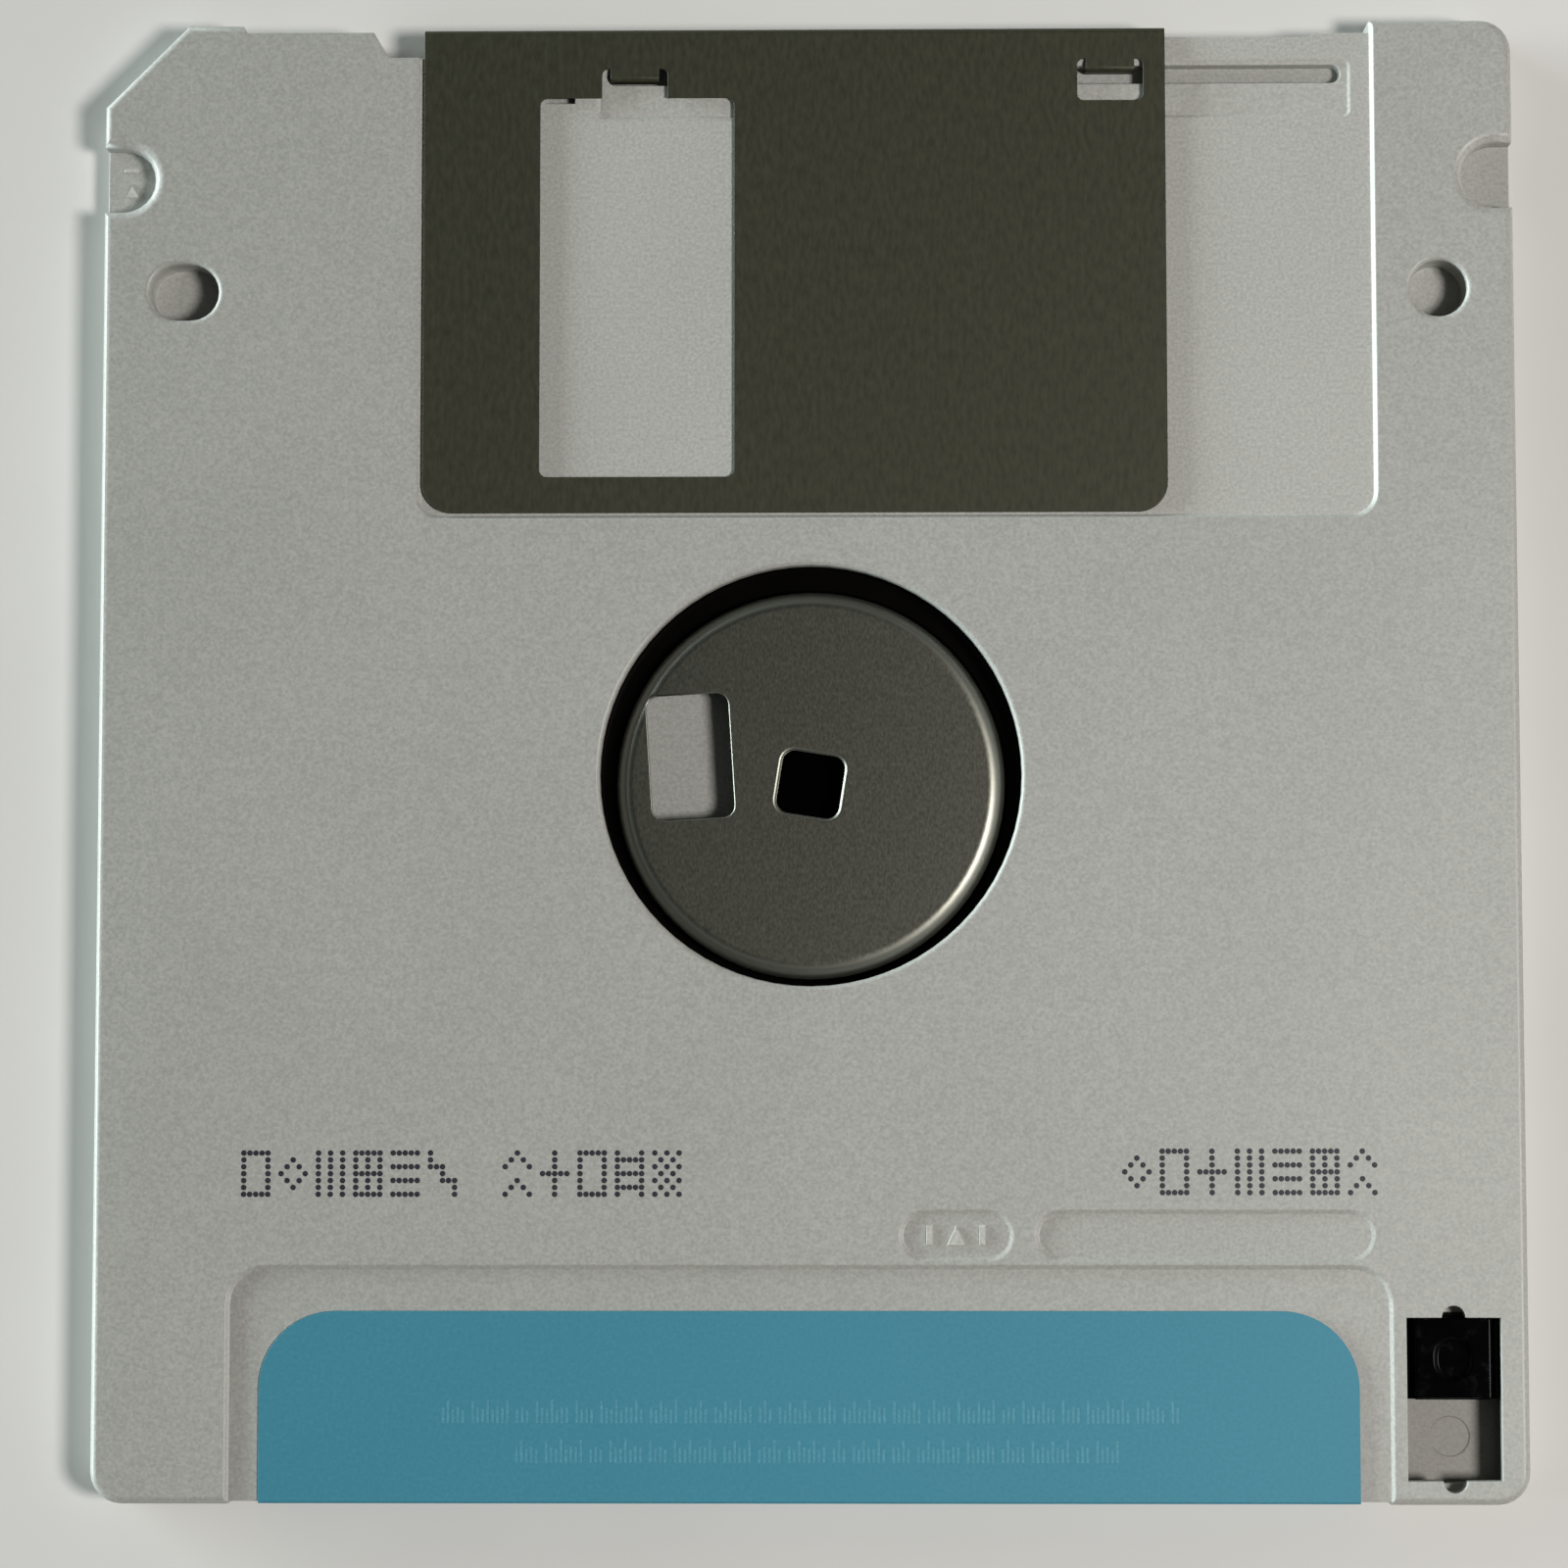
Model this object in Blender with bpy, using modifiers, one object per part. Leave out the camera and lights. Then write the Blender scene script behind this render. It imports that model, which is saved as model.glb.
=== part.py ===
# 3.5-inch micro floppy disk, lying on its label side with the hub side up and the shutter closed.
# X runs across the case, Y towards the leading edge that the shutter wraps, Z out of the hub side.
# The origin is the centre of the case's footprint, on the surface that the disk lies on.

import math

import bmesh
import bpy
from mathutils import Matrix, Vector

MM = 0.001

# Magnetic disk and the room it has in the case
MEDIUM_DIAMETER = 85.8 * MM
MEDIUM_THICKNESS = 0.08 * MM
MEDIUM_CLEARANCE = 0.85 * MM
MEDIUM_BORE_CLEARANCE = 0.25 * MM

# Hub, a drawn steel cup whose flange is glued under the medium
HUB_CUP_DIAMETER = 24.6 * MM
HUB_FLANGE_WIDTH = 2.4 * MM
HUB_SHEET = 0.3 * MM
HUB_SHOULDER_RADIUS = 1.1 * MM
HUB_FLANGE_BEND_RADIUS = 0.45 * MM
HUB_INSET = 0.25 * MM
HUB_FLOAT = 0.59 * MM
HUB_FLOOR_GAP = 0.05 * MM
SPINDLE_SQUARE = 4.0 * MM
SPINDLE_SQUARE_CORNER = 0.8 * MM
SPINDLE_SQUARE_TURN = -9.0
SPINDLE_SQUARE_FLARE = 0.25 * MM
PIN_HOLE_WIDTH = 5.2 * MM
PIN_HOLE_LENGTH = 7.9 * MM
PIN_HOLE_CORNER = 0.75 * MM
PIN_HOLE_OUT = 7.6 * MM
PIN_HOLE_AHEAD = 1.75 * MM
PIN_HOLE_TURN = 3.5
ADHESIVE_THICKNESS = 0.06 * MM
ADHESIVE_MARGIN = 0.2 * MM
BOND_GAP = 0.02 * MM

# Case: two moulded halves, welded at mid height
CASE_THICKNESS = 3.3 * MM
CASE_SKIN = 0.95 * MM
CASE_SIDE_LAND = 1.25 * MM
CASE_FRONT_LAND = 4.6 * MM
CASE_TRAILING_LAND = 1.9 * MM
CASE_CORNER_RADIUS = 2.0 * MM
CASE_CHAMFER = 5.3 * MM
CASE_EDGE_RADIUS = 0.5 * MM
CASE_POCKET_WALL = 1.2 * MM
CASE_RING_RIB = 0.8 * MM
WELD_GAP = 0.02 * MM

# Reference axes of the case
HUB_AXIS_X = 0.2 * MM
LOCATING_SETBACK = 17.35 * MM
LOCATING_SIDE_INSET = 5.0 * MM
LOCATING_HOLE_RADIUS = 1.8 * MM
LOCATING_SLOT_LENGTH = 4.4 * MM
LOCATING_RIM_RADIUS = 0.32 * MM
LOCATING_BOSS_WALL = 1.1 * MM
HUB_HOLE_CLEARANCE = 1.05 * MM
HUB_HOLE_RIM_RADIUS = 0.3 * MM
HUB_LIP_WIDTH = 0.65 * MM
HUB_LIP_HEIGHT = 0.2 * MM
HEAD_WINDOW_WIDTH = 9.0 * MM
HEAD_WINDOW_PAST_MEDIUM = 0.4 * MM
HEAD_WINDOW_TO_HUB_HOLE = 6.15 * MM
HEAD_WINDOW_CORNER = 0.5 * MM

# Leading edge, measured back from the case's full length
SHUTTER_EDGE_SETBACK = 1.03 * MM
STOP_EDGE_SETBACK = 0.8 * MM
STOP_EDGE_WIDTH = 3.4 * MM
GUIDE_EDGE_SETBACK = 0.56 * MM
GUIDE_EDGE_START = 9.1 * MM
EDGE_STEP_SLOPE = 0.3 * MM
STOP_STEP_SLOPE = 0.6 * MM
LEVER_NOTCH_SETBACK = 2.2 * MM
LEVER_NOTCH_WIDTH = 2.3 * MM
LEVER_NOTCH_SLOPE = 0.95 * MM
LEVER_NOTCH_UNDER = 0.8 * MM

# Half-round handling notches in the side edges, hub-side half only
HANDLING_NOTCH_RADIUS = 2.05 * MM
HANDLING_NOTCH_DEPTH = 3.2 * MM
HANDLING_NOTCH_SETBACK = 10.0 * MM
HANDLING_NOTCH_RIM = 0.7 * MM

# Shutter, one folded steel sheet
SHUTTER_WIDTH = 47.4 * MM
SHUTTER_THICKNESS = 0.2 * MM
SHUTTER_REACH_LEFT = 24.7 * MM
SHUTTER_TRAVEL = 12.9 * MM
SHUTTER_FOLD_SETBACK = 0.4 * MM
SHUTTER_FOLD_RADIUS = 0.3 * MM
SHUTTER_CORNER_RADIUS = 1.9 * MM
SHUTTER_OVERLAP = 2.8 * MM
SHUTTER_FACE_GAP = 0.05 * MM
SHUTTER_INSET = 0.03 * MM
SHUTTER_EDGE_GAP = 0.15 * MM
SHUTTER_WINDOW_WIDTH = 12.4 * MM
SHUTTER_WINDOW_OFFSET = 7.45 * MM
SHUTTER_WINDOW_MARGIN = 0.5 * MM
SHUTTER_WINDOW_CORNER = 0.5 * MM
RECESS_CORNER_RADIUS = 1.4 * MM
RECESS_DRAFT = 0.26 * MM

# Guide tabs, bent down from the shutter into a groove of the case
TAB_WIDTH = 3.1 * MM
TAB_RELIEF = 0.55 * MM
TAB_RELIEF_LENGTH = 0.7 * MM
TAB_BEND_RADIUS = 0.2 * MM
TAB_HOLE_LENGTH = 2.7 * MM
TAB_HOLE_CORNER = 0.4 * MM
TAB_ONE_INSET = 13.5 * MM
TAB_TWO_INSET = 3.5 * MM
TAB_SPREAD = 0.27 * MM
TAB_TIP_GAP = 0.15 * MM
TAB_END_GAP = 0.2 * MM
GROOVE_SETBACK = 3.42 * MM
GROOVE_WIDTH = 1.05 * MM
GROOVE_DEPTH = 0.75 * MM
GROOVE_RIM = 0.1 * MM
GUIDE_RECESS_DEPTH = 0.12 * MM
GUIDE_RECESS_DRAFT = 0.6 * MM
GUIDE_RECESS_AHEAD = 0.75 * MM
GUIDE_RECESS_BEHIND = 2.65 * MM
GUIDE_RECESS_END = 0.5 * MM
GUIDE_RECESS_CORNER = 0.3 * MM
ASSEMBLY_POCKET_LENGTH = 2.1 * MM
ASSEMBLY_POCKET_WIDTH = 1.9 * MM
ASSEMBLY_POCKET_INSET = 0.3 * MM
ASSEMBLY_POCKET_DEPTH = 0.8 * MM

# Spring flap, bent in from the shutter's fold, and the channel it slides in
FLAP_HEIGHT = 0.55 * MM
FLAP_LENGTH = 1.9 * MM
FLAP_INSET = 2.1 * MM
FLAP_BEND_RADIUS = 0.2 * MM
FLAP_GAP = 0.07 * MM
CHANNEL_END_GAP = 0.3 * MM

# Shutter spring, a wire torsion spring in the pocket beside the channel
SPRING_WIRE = 0.3 * MM
SPRING_COIL_RADIUS = 1.3 * MM
SPRING_FULL_TURNS = 1
SPRING_PITCH = 0.34 * MM
SPRING_POINTS_PER_TURN = 14
SPRING_SEAT_GAP = 0.12 * MM
SPRING_TIP_SETBACK = 1.6 * MM
SPRING_COIL_SETBACK = 10.4 * MM
SPRING_COIL_SIDE = 16.43 * MM
SPRING_ANCHOR_SETBACK = 5.4 * MM
SPRING_POST_WIDTH = 0.8 * MM
SPRING_POST_LENGTH = 2.6 * MM
SPRING_POST_SIDE = 9.7 * MM

# Fabric liners and the lifter strip under the lower one
LINER_THICKNESS = 0.2 * MM
LINER_EDGE_GAP = 1.2 * MM
LINER_BORE_GAP = 0.5 * MM
LINER_SLOT_MARGIN = 1.0 * MM
LIFTER_LENGTH = 20.0 * MM
LIFTER_WIDTH = 8.0 * MM
LIFTER_THICKNESS = 0.12 * MM
LIFTER_FLAT = 6.0 * MM
LIFTER_END_INSET = 6.05 * MM
LIFTER_AHEAD = 5.0 * MM
LIFTER_POCKET_DEPTH = 0.3 * MM
LIFTER_POCKET_GAP = 0.3 * MM
LIFTER_LINER_GAP = 0.06 * MM

# Wear button that backs the spindle
BUTTON_RADIUS = 4.0 * MM
BUTTON_HEIGHT = 0.7 * MM
BUTTON_SEAT_DEPTH = 0.2 * MM
BUTTON_SEAT_GAP = 0.05 * MM
BUTTON_EDGE = 0.2 * MM

# Write-protect window and slider
PROTECT_WINDOW_WIDTH = 5.9 * MM
PROTECT_WINDOW_LENGTH = 10.1 * MM
PROTECT_WINDOW_SIDE = 1.75 * MM
PROTECT_WINDOW_TRAILING = 1.5 * MM
PROTECT_FINGER_RADIUS = 0.75 * MM
PROTECT_CHANNEL_SIDE = 0.5 * MM
PROTECT_CHANNEL_END = 0.25 * MM
SLIDER_LENGTH = 5.1 * MM
SLIDER_SIDE_GAP = 0.1 * MM
SLIDER_FACE_GAP = 0.05 * MM
SLIDER_RIDGE_WIDTH = 4.8 * MM
SLIDER_RIDGE_INSET = 0.4 * MM
SLIDER_DISH_WIDTH = 2.4 * MM
SLIDER_DISH_LENGTH = 2.8 * MM
SLIDER_DISH_DEPTH = 0.25 * MM
SLIDER_EDGE = 0.12 * MM
SENSOR_HOLE_SIDE = 0.75 * MM
SENSOR_HOLE_END = 0.4 * MM
EJECTOR_MARK_RADIUS = 1.25 * MM
EJECTOR_MARK_DEPTH = 0.05 * MM
EJECTOR_MARK_BEHIND = 2.45 * MM

# Label, one paper sheet round the trailing edge, and its recess
LABEL_SIDE_INSET = 10.6 * MM
LABEL_HUB_SIDE_LENGTH = 12.0 * MM
LABEL_LABEL_SIDE_LENGTH = 53.5 * MM
LABEL_THICKNESS = 0.1 * MM
LABEL_CORNER_RADIUS = 4.8 * MM
LABEL_FOLD_RADIUS = 0.12 * MM
LABEL_GAP = 0.04 * MM
LABEL_INSET = 0.06 * MM
LABEL_RECESS_SIDE = 1.9 * MM
LABEL_RECESS_END = 2.6 * MM
LABEL_RECESS_CORNER = 2.2 * MM

# Two shallow pill-shaped recesses ahead of the label
PILL_WIDTH = 2.7 * MM
PILL_DEPTH = 0.15 * MM
PILL_SHORT_LENGTH = 6.7 * MM
PILL_LONG_LENGTH = 20.8 * MM
PILL_LONG_SIDE = 9.75 * MM
PILL_SPACING = 1.8 * MM
PILL_AHEAD = 0.75 * MM

# Weld pins in the corner pockets
WELD_PIN_RADIUS = 0.6 * MM
WELD_PIN_CLEARANCE = 0.08 * MM
WELD_PIN_TIP_GAP = 0.15 * MM
WELD_BOSS_WALL = 0.7 * MM
WELD_SOCKET_DEPTH = 0.8 * MM
WELD_PIN_INSET = 2.6 * MM
WELD_PIN_AHEAD = 6.0 * MM
WELD_PIN_ASIDE = 1.3 * MM

# Facets
ARC_STEPS = 6
CIRCLE_STEPS = 72
MEDIUM_STEPS = 96
SMALL_CIRCLE_STEPS = 28
TINY_CIRCLE_STEPS = 16
RIM_STEPS = 3
BEND_STEPS = 4
CUT = 1.0 * MM
SHARP_ANGLE = math.radians(28)

# Places that follow from the sizes above
CAVITY_RADIUS = MEDIUM_DIAMETER / 2 + MEDIUM_CLEARANCE
CASE_WIDTH = 2 * (CAVITY_RADIUS + CASE_SIDE_LAND)
CASE_LENGTH = CASE_TRAILING_LAND + 2 * CAVITY_RADIUS + CASE_FRONT_LAND
SIDE_X = CASE_WIDTH / 2
LEADING_Y = CASE_LENGTH / 2
TRAILING_Y = -CASE_LENGTH / 2
PARTING_Z = CASE_THICKNESS / 2
FLOOR_Z = CASE_SKIN
CEILING_Z = CASE_THICKNESS - CASE_SKIN
HUB_AXIS_Y = LEADING_Y - CASE_FRONT_LAND - CAVITY_RADIUS
LOCATING_Y = LEADING_Y - LOCATING_SETBACK
DISK_Y = HUB_AXIS_Y - HUB_FLOAT

HUB_CUP_RADIUS = HUB_CUP_DIAMETER / 2
HUB_HOLE_RADIUS = HUB_CUP_RADIUS + HUB_HOLE_CLEARANCE
HUB_FLANGE_OUTER = HUB_CUP_RADIUS + HUB_FLANGE_WIDTH
HUB_FACE_Z = CASE_THICKNESS - HUB_INSET
FLANGE_Z = FLOOR_Z + HUB_FLOOR_GAP
ADHESIVE_Z = FLANGE_Z + HUB_SHEET + BOND_GAP
MEDIUM_Z = ADHESIVE_Z + ADHESIVE_THICKNESS + BOND_GAP
MEDIUM_BORE = HUB_CUP_RADIUS + MEDIUM_BORE_CLEARANCE

HEAD_WINDOW_FRONT_Y = HUB_AXIS_Y + MEDIUM_DIAMETER / 2 + HEAD_WINDOW_PAST_MEDIUM
HEAD_WINDOW_BACK_Y = HUB_AXIS_Y + HUB_HOLE_RADIUS + HEAD_WINDOW_TO_HUB_HOLE
RECESS_DEPTH = SHUTTER_THICKNESS + SHUTTER_FACE_GAP + SHUTTER_INSET
SHUTTER_LEFT_X = HUB_AXIS_X - SHUTTER_REACH_LEFT
SHUTTER_RIGHT_X = SHUTTER_LEFT_X + SHUTTER_WIDTH
SHUTTER_LOWER_Y = HEAD_WINDOW_BACK_Y - SHUTTER_OVERLAP
RECESS_LEFT_X = SHUTTER_LEFT_X - SHUTTER_EDGE_GAP
RECESS_RIGHT_X = SHUTTER_RIGHT_X + SHUTTER_TRAVEL + SHUTTER_EDGE_GAP
RECESS_LOWER_Y = SHUTTER_LOWER_Y - SHUTTER_EDGE_GAP
SHUTTER_FOLD_Y = LEADING_Y - SHUTTER_FOLD_SETBACK - SHUTTER_THICKNESS / 2
WINDOW_LEFT_X = SHUTTER_LEFT_X + SHUTTER_WINDOW_OFFSET
WINDOW_RIGHT_X = WINDOW_LEFT_X + SHUTTER_WINDOW_WIDTH
WINDOW_FRONT_Y = HEAD_WINDOW_FRONT_Y + SHUTTER_WINDOW_MARGIN / 3
WINDOW_BACK_Y = HEAD_WINDOW_BACK_Y - SHUTTER_WINDOW_MARGIN
GROOVE_Y = LEADING_Y - GROOVE_SETBACK
TAB_ONE_X = SHUTTER_LEFT_X + TAB_ONE_INSET
TAB_TWO_X = SHUTTER_RIGHT_X - TAB_TWO_INSET
GROOVE_LEFT_X = TAB_ONE_X - TAB_WIDTH / 2 - TAB_END_GAP
GROOVE_RIGHT_X = TAB_TWO_X + TAB_WIDTH / 2 + SHUTTER_TRAVEL + TAB_END_GAP
GROOVE_FLOOR_DEPTH = RECESS_DEPTH + GUIDE_RECESS_DEPTH + GROOVE_DEPTH
SHUTTER_SHEET_DEPTH = SHUTTER_INSET + SHUTTER_THICKNESS / 2
FLAP_X = SHUTTER_RIGHT_X - FLAP_INSET
FLAP_Z = (FLOOR_Z + PARTING_Z) / 2
CHANNEL_LEFT_X = FLAP_X - SHUTTER_THICKNESS / 2 - CHANNEL_END_GAP
CHANNEL_RIGHT_X = FLAP_X + SHUTTER_THICKNESS / 2 + SHUTTER_TRAVEL + CHANNEL_END_GAP
SPRING_POST_X = SIDE_X - SPRING_POST_SIDE

LINER_RADIUS = CAVITY_RADIUS - LINER_EDGE_GAP
LIFTER_LEFT_X = HUB_AXIS_X - LINER_RADIUS + LIFTER_END_INSET
LIFTER_Y = HUB_AXIS_Y + LIFTER_AHEAD

PROTECT_RIGHT_X = SIDE_X - PROTECT_WINDOW_SIDE
PROTECT_LEFT_X = PROTECT_RIGHT_X - PROTECT_WINDOW_WIDTH
PROTECT_X = (PROTECT_LEFT_X + PROTECT_RIGHT_X) / 2
PROTECT_BACK_Y = TRAILING_Y + PROTECT_WINDOW_TRAILING
PROTECT_FRONT_Y = PROTECT_BACK_Y + PROTECT_WINDOW_LENGTH
SLIDER_Y = PROTECT_FRONT_Y - SLIDER_LENGTH / 2
POCKET_X = SIDE_X - CASE_POCKET_WALL
POCKET_BACK_Y = TRAILING_Y + CASE_POCKET_WALL
POCKET_FRONT_Y = LEADING_Y - CASE_FRONT_LAND
RIB_OUTER_RADIUS = CAVITY_RADIUS + CASE_RING_RIB

LABEL_HALF_WIDTH = SIDE_X - LABEL_SIDE_INSET
LABEL_RECESS_DEPTH = LABEL_THICKNESS + LABEL_GAP + LABEL_INSET
LABEL_FRONT_Y = TRAILING_Y + LABEL_HUB_SIDE_LENGTH
LABEL_UNDER_FRONT_Y = TRAILING_Y + LABEL_LABEL_SIDE_LENGTH


def clear_scene():
    for item in list(bpy.data.objects):
        bpy.data.objects.remove(item, do_unlink=True)


def new_collection(name):
    collection = bpy.data.collections.new(name)
    bpy.context.scene.collection.children.link(collection)
    return collection


clear_scene()
PARTS = new_collection("micro_floppy_disk")
CUTTERS = new_collection("cutters")


# Outlines, each a list of (x, y) points running anticlockwise

def arc(centre, radius, start, end, steps):
    angles = [math.radians(start + (end - start) * i / steps) for i in range(steps + 1)]
    return [(centre[0] + radius * math.cos(a), centre[1] + radius * math.sin(a)) for a in angles]


def circle(x, y, radius, grow=0.0, steps=CIRCLE_STEPS):
    return arc((x, y), radius + grow, 0, 360, steps)[:-1]


def rounded_rectangle(left, right, back, front, radius, grow=0.0, steps=ARC_STEPS):
    left, right = left - grow, right + grow
    back, front = back - grow, front + grow
    radius = min(radius + grow, (right - left) / 2, (front - back) / 2)
    points = []
    corners = ((right, front, 0), (left, front, 90), (left, back, 180), (right, back, 270))
    for x, y, start in corners:
        centre = (x - math.copysign(radius, x - (left + right) / 2),
                  y - math.copysign(radius, y - (back + front) / 2))
        points += arc(centre, radius, start, start + 90, steps)
    return without_repeats(points)


def without_repeats(points):
    kept = []
    for point in points:
        if not kept or (Vector(point) - Vector(kept[-1])).length > 1e-6:
            kept.append(point)
    if (Vector(kept[0]) - Vector(kept[-1])).length < 1e-6:
        kept.pop()
    return kept


def filleted(corners, steps=ARC_STEPS):
    """Closed outline through corners given as (x, y, radius)."""
    points = []
    for i, (x, y, radius) in enumerate(corners):
        here = Vector((x, y))
        before = (Vector(corners[i - 1][:2]) - here).normalized()
        after = (Vector(corners[(i + 1) % len(corners)][:2]) - here).normalized()
        points += fillet(here, before, after, radius, steps)
    return without_repeats(points)


def fillet(corner, before, after, radius, steps):
    """Points of an arc that rounds a corner between two leaving directions."""
    if radius == 0.0:
        return [tuple(corner)]
    half = before.angle(after) / 2
    centre = corner + (before + after).normalized() * (radius / math.sin(half))
    start = corner + before * (radius / math.tan(half)) - centre
    end = corner + after * (radius / math.tan(half)) - centre
    turn = start.angle_signed(end)
    points = []
    for i in range(steps + 1):
        spoke = start.copy()
        spoke.rotate(Matrix.Rotation(-turn * i / steps, 2))
        points.append(tuple(centre + spoke))
    return points


def folded_sheet_outline(path, radii, thickness, steps=BEND_STEPS):
    """Outline of an evenly thick sheet along an open path, with a mid-sheet radius for each bend."""
    line = [Vector(path[0])]
    for before, here, after, radius in zip(path, path[1:], path[2:], radii):
        here = Vector(here)
        line += [Vector(p) for p in fillet(here, (Vector(before) - here).normalized(),
                                           (Vector(after) - here).normalized(), radius, steps)]
    line.append(Vector(path[-1]))
    left, right = [], []
    for i, point in enumerate(line):
        run_in = (point - line[i - 1]).normalized() if i else (line[1] - point).normalized()
        run_out = (line[i + 1] - point).normalized() if i + 1 < len(line) else run_in
        normal_in = Vector((-run_in.y, run_in.x))
        normal = (normal_in + Vector((-run_out.y, run_out.x))).normalized()
        reach = thickness / 2 / normal.dot(normal_in)
        left.append(tuple(point + normal * reach))
        right.append(tuple(point - normal * reach))
    return left + right[::-1]


# Solids made from outlines

def mesh_object(name, mesh, collection):
    item = bpy.data.objects.new(name, mesh)
    collection.objects.link(item)
    return item


def flat_mesh(name, outline, low, high, holes):
    """A flat outline filled and thickened as a 2D curve, welded and freed of its flat inner edges.

    The curve is drawn at a thousand times its size, because filling merges very close points."""
    curve = bpy.data.curves.new(name, "CURVE")
    curve.dimensions = "2D"
    curve.fill_mode = "BOTH"
    curve.extrude = (high - low) / MM / 2
    for loop in [outline, *holes]:
        spline = curve.splines.new("POLY")
        spline.points.add(len(loop) - 1)
        for point, (x, y) in zip(spline.points, loop):
            point.co = (x / MM, y / MM, 0, 1)
        spline.use_cyclic_u = True
    holder = mesh_object(name, curve, CUTTERS)
    bpy.context.view_layer.update()
    mesh = bpy.data.meshes.new_from_object(holder.evaluated_get(bpy.context.evaluated_depsgraph_get()))
    bpy.data.objects.remove(holder)
    bpy.data.curves.remove(curve)
    mesh.materials.clear()
    edit = bmesh.new()
    edit.from_mesh(mesh)
    bmesh.ops.remove_doubles(edit, verts=edit.verts, dist=1e-4)
    bmesh.ops.dissolve_limit(edit, angle_limit=1e-3, verts=edit.verts, edges=edit.edges)
    bmesh.ops.recalc_face_normals(edit, faces=edit.faces)
    edit.to_mesh(mesh)
    edit.free()
    mesh.transform(Matrix.Translation((0, 0, (low + high) / 2)) @ Matrix.Scale(MM, 4))
    return mesh


def plate(name, outline, low, high, holes=(), collection=CUTTERS):
    return mesh_object(name, flat_mesh(name, outline, low, high, holes), collection)


def strip(name, outline, left, right, collection=CUTTERS):
    """An outline in the Y-Z plane, extruded along X."""
    mesh = flat_mesh(name, outline, left, right, ())
    mesh.transform(Matrix(((0, 0, 1, 0), (1, 0, 0, 0), (0, 1, 0, 0), (0, 0, 0, 1))))
    return mesh_object(name, mesh, collection)


def loft(name, sections, collection=CUTTERS):
    """A closed solid through sections, each an (outline, z) pair with the same number of points."""
    edit = bmesh.new()
    rings = [[edit.verts.new((x, y, z)) for x, y in outline] for outline, z in sections]
    for lower, upper in zip(rings, rings[1:]):
        for i in range(len(lower)):
            edit.faces.new((lower[i - 1], lower[i], upper[i], upper[i - 1]))
    edit.faces.new(rings[0][::-1])
    edit.faces.new(rings[-1])
    bmesh.ops.recalc_face_normals(edit, faces=edit.faces)
    mesh = bpy.data.meshes.new(name)
    edit.to_mesh(mesh)
    edit.free()
    return mesh_object(name, mesh, collection)


def turned(name, profile, steps, collection=PARTS):
    """A closed (radius, z) profile turned about Z with a Screw modifier."""
    mesh = bpy.data.meshes.new(name)
    edit = bmesh.new()
    ring = [edit.verts.new((radius, 0, z)) for radius, z in profile]
    for i in range(len(ring)):
        edit.edges.new((ring[i - 1], ring[i]))
    edit.to_mesh(mesh)
    edit.free()
    item = mesh_object(name, mesh, collection)
    screw = item.modifiers.new("turn", "SCREW")
    screw.steps = steps
    screw.render_steps = steps
    screw.use_merge_vertices = True
    screw.merge_threshold = 1e-6
    screw.use_normal_calculate = True
    apply_modifiers(item)
    return item


# Cutters into a case face. A depth is measured inwards from the face that the cutter enters.

def face_z(side, depth):
    return CASE_THICKNESS - depth if side == "hub" else depth


def drafted_cutter(name, side, outline, depth, draft):
    """Cuts a recess whose walls lean outwards by the draft; outline(grow) gives the section."""
    sections = [(outline(0.0), face_z(side, depth)),
                (outline(draft), face_z(side, 0.0)),
                (outline(draft), face_z(side, -CUT))]
    return loft(name, sections)


def rimmed_cutter(name, side, outline, depth, rim):
    """Cuts a hole with a rounded rim at the face."""
    sections = [(outline(0.0), face_z(side, depth))]
    for i in range(RIM_STEPS + 1):
        angle = math.pi / 2 * i / RIM_STEPS
        sections.append((outline(rim * (1 - math.cos(angle))), face_z(side, rim * (1 - math.sin(angle)))))
    sections.append((outline(rim), face_z(side, -CUT)))
    return loft(name, sections)


def boolean(item, other, operation="DIFFERENCE"):
    step = item.modifiers.new(other.name, "BOOLEAN")
    step.operation = operation
    step.solver = "EXACT"
    step.object = other
    other.hide_render = True
    other.display_type = "WIRE"


def cut(item, *cutters):
    for cutter in cutters:
        boolean(item, cutter)


def join(item, *pieces):
    for piece in pieces:
        boolean(item, piece, "UNION")


def apply_modifiers(item):
    bpy.context.view_layer.update()
    solid = bpy.data.meshes.new_from_object(item.evaluated_get(bpy.context.evaluated_depsgraph_get()))
    item.modifiers.clear()
    item.data = solid


def settle(item):
    """Applies an auxiliary solid's own steps, so that it can cut or join another."""
    apply_modifiers(item)
    return item


def finish(item, material, origin=(0.0, 0.0, 0.0)):
    """Applies a part's steps, shades it, colours it and moves its origin."""
    apply_modifiers(item)
    item.data.name = item.name
    item.data.transform(Matrix.Translation(-Vector(origin)))
    item.location = origin
    item.data.materials.clear()
    item.data.materials.append(material)
    item.data.shade_smooth()
    item.data.set_sharp_from_angle(angle=SHARP_ANGLE)
    return item


def round_edges(item, height, radius, steps=RIM_STEPS):
    """Rounds a plate's outer edge at one height."""
    mesh = item.data
    weights = mesh.attributes.new("bevel_weight_edge", "FLOAT", "EDGE")
    for edge in mesh.edges:
        if all(abs(mesh.vertices[v].co.z - height) < 1e-6 for v in edge.vertices):
            weights.data[edge.index].value = 1.0
    bevel = item.modifiers.new("rounded edge", "BEVEL")
    bevel.limit_method = "WEIGHT"
    bevel.width = radius
    bevel.segments = steps


def new_material(name, colour, roughness, metallic=0.0):
    material = bpy.data.materials.new(name)
    material.use_nodes = True
    shader = material.node_tree.nodes["Principled BSDF"]
    shader.inputs["Base Color"].default_value = (*colour, 1.0)
    shader.inputs["Roughness"].default_value = roughness
    shader.inputs["Metallic"].default_value = metallic
    material.diffuse_color = (*colour, 1.0)
    return material


# Case

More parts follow.
